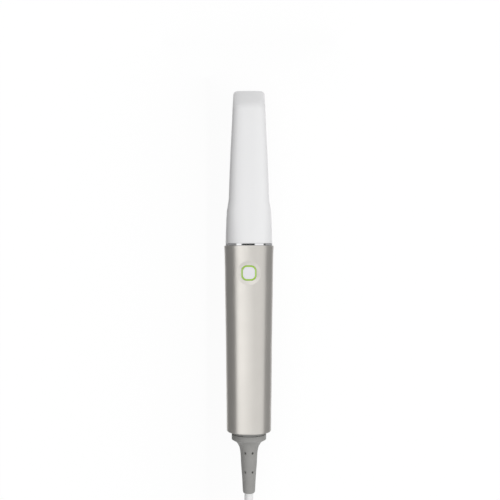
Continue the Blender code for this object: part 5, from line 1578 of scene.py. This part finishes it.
# %% Cards beside the wand
LEFT_CARD, RIGHT_CARD = (-0.029, 0.044, 0.25), (0.029, 0.034, 0.36)  # place, height, brightness
CARD_SPAN = (-0.17, 0.145)
END_CARD_Y, END_CARD_SIZE, END_CARD_LEVEL = 0.170, (0.12, 0.055), 0.60


def stage_mesh(name, points, faces, material):
    """A mesh that belongs to the studio and not to the scanner."""
    made = bpy.data.objects.new(name, bpy.data.meshes.new(name))
    made.data.from_pydata(np.asarray(points, float).tolist(), [], np.asarray(faces, int).tolist())
    made.data.materials.append(material)
    bpy.context.scene.collection.objects.link(made)
    return made


def glow_material(name, level):
    """A material that gives off one plain grey."""
    material = bpy.data.materials.new(name)
    material.use_nodes = True
    tree = material.node_tree
    tree.nodes.remove(tree.nodes["Principled BSDF"])
    glow = tree.nodes.new("ShaderNodeEmission")
    glow.inputs["Color"].default_value = (level, level, level, 1)
    tree.links.new(glow.outputs[0], tree.nodes["Material Output"].inputs["Surface"])
    return material, tree, glow


print("side cards stand at x", LEFT_CARD[0], "and", RIGHT_CARD[0], "m")

# %% The three cards
def make_card(name, card, soft):
    """Upright card along the handle, out of the camera's sight."""
    x, height, level = card
    near, far = CARD_SPAN
    corners = [(x, near, 0), (x, far, 0), (x, far, height), (x, near, height)]
    made = stage_mesh(name, corners, [(0, 1, 2, 3)], glow_material(name, level)[0])
    made.visible_camera = False
    made.visible_diffuse = made.visible_shadow = soft
    return made


def make_end_card():
    """Upright card before the tip, which shades its slanted face; the camera doesn't see it."""
    half, height = END_CARD_SIZE[0] / 2, END_CARD_SIZE[1]
    corners = [(x, END_CARD_Y, z) for x, z in ((-half, 0), (half, 0), (half, height), (-half, height))]
    made = stage_mesh("end_card", corners, [(0, 1, 2, 3)], glow_material("end_card", END_CARD_LEVEL)[0])
    made.visible_camera = False
    return made


cards = [make_card("left_card", LEFT_CARD, True), make_card("right_card", RIGHT_CARD, False), make_end_card()]
print("cards:", *(card.name for card in cards))

# %% [markdown]
# ## Bent card over the ring
# In the photograph the polished ring shows crisp black and white bands, which are the studio's own
# lights. Here they come from a narrow card bent in half a circle about the wand. Its brightness is a
# colour ramp over the angle, which is easier to tune than a row of separate cards.

# %% Bent card over the ring
# the ring mirrors this strip: (degrees from straight up, left negative; brightness)
STRIP = [
    (-90, 0.40), (-86, 0.22), (-50, 0.22), (-46, 0.96), (-24, 0.96), (-20, 0.03), (14, 0.03),
    (18, 0.93), (60, 0.93), (64, 0.10), (75, 0.10), (79, 0.6), (90, 0.8),
]
STRIP_RADIUS, STRIP_WIDTH = 0.60, 0.030


def strip_material():
    """Glow that follows the strip: the angle from straight up is atan2(x, z), and a ramp colours it."""
    material, tree, glow = glow_material("bent_card", 0)
    make, link = tree.nodes.new, tree.links.new
    kinds = ("TexCoord", "SeparateXYZ", "Math", "MapRange", "ValToRGB")
    place, split, turn, share, ramp = (make(f"ShaderNode{kind}") for kind in kinds)
    turn.operation = "ARCTAN2"
    share.inputs["From Min"].default_value, share.inputs["From Max"].default_value = -math.pi / 2, math.pi / 2
    stops = ramp.color_ramp.elements
    while len(stops) < len(STRIP):
        stops.new(0.5)
    for stop, (degrees, level) in zip(stops, STRIP):
        stop.position = (degrees + 90) / 180
    for stop, (degrees, level) in zip(stops, STRIP):
        stop.color = (level, level, level, 1)
    link(place.outputs["Object"], split.inputs[0])
    link(split.outputs["X"], turn.inputs[0])
    link(split.outputs["Z"], turn.inputs[1])
    link(turn.outputs[0], share.inputs["Value"])
    link(share.outputs["Result"], ramp.inputs["Fac"])
    link(ramp.outputs["Color"], glow.inputs["Color"])
    return material


print("the strip has", len(STRIP), "stops")

# %% The bent card's mesh
def make_strip():
    """Bent card over the ring: half a circle about the wand, its brightness a ramp over the angle."""
    angle = np.radians(np.linspace(-90, 90, 61))
    middle, count = (HANDLE_FRONT_Y + TIP_BASE_Y) / 2, len(angle)
    x, z = STRIP_RADIUS * np.sin(angle), TAIL_Z + STRIP_RADIUS * np.cos(angle)
    y = [np.full(count, middle + side * STRIP_WIDTH / 2) for side in (-1, 1)]
    points = np.concatenate([np.column_stack([x, row, z]) for row in y])
    made = stage_mesh("bent_card", points, grid_faces(2, count, closed=False), strip_material())
    made.visible_camera = made.visible_diffuse = made.visible_shadow = False
    return made


strip = make_strip()
tell(strip)

# %% [markdown]
# ## White floor
# The photograph has a pure white ground with hardly a shadow. A brighter lamp would also burn out the
# white tip. Instead the floor is told apart by who looks: to the camera, and to reflections, it is white
# with a small share of its own shading, which keeps a faint shadow. To all other light it is pale paint.

# %% White floor
FLOOR_HALF, FLOOR_TONE, FLOOR_SHADOW = 40.0, 0.80, 0.06


def make_floor():
    """Large white floor that keeps a faint shadow of the wand.

    The greatest of Is Camera, Is Glossy and Is Transmission Ray picks between plain paint and a
    mixture of white glow and a small share of white paint.
    """
    material, tree, glow = glow_material("floor_white", 1.0)
    make, link = tree.nodes.new, tree.links.new
    kinds = ("LightPath", "Math", "Math", "BsdfDiffuse", "BsdfDiffuse", "MixShader", "MixShader")
    path, seen, through_glass, paint, white, shown, mix = (make(f"ShaderNode{kind}") for kind in kinds)
    seen.operation = through_glass.operation = "MAXIMUM"
    paint.inputs["Color"].default_value = (FLOOR_TONE, FLOOR_TONE, FLOOR_TONE, 1)
    white.inputs["Color"].default_value = (1, 1, 1, 1)
    shown.inputs["Fac"].default_value = FLOOR_SHADOW
    link(path.outputs["Is Camera Ray"], seen.inputs[0])
    link(path.outputs["Is Glossy Ray"], seen.inputs[1])
    link(seen.outputs[0], through_glass.inputs[0])
    link(path.outputs["Is Transmission Ray"], through_glass.inputs[1])
    link(glow.outputs[0], shown.inputs[1])
    link(white.outputs[0], shown.inputs[2])
    link(through_glass.outputs[0], mix.inputs["Fac"])
    link(paint.outputs[0], mix.inputs[1])
    link(shown.outputs[0], mix.inputs[2])
    link(mix.outputs[0], tree.nodes["Material Output"].inputs["Surface"])
    corners = [(x * FLOOR_HALF, y * FLOOR_HALF, 0) for x, y in ((-1, -1), (1, -1), (1, 1), (-1, 1))]
    return stage_mesh("floor", corners, [(0, 1, 2, 3)], material)


floor = make_floor()
print(floor.name, "is", 2 * FLOOR_HALF, "m wide")

# %% [markdown]
# ## View
# The Standard view shows each colour as it is written, while a filmic one would grey the whites.

# %% View
scene = bpy.context.scene
scene.view_settings.view_transform = "Standard"
print("view:", scene.view_settings.view_transform)
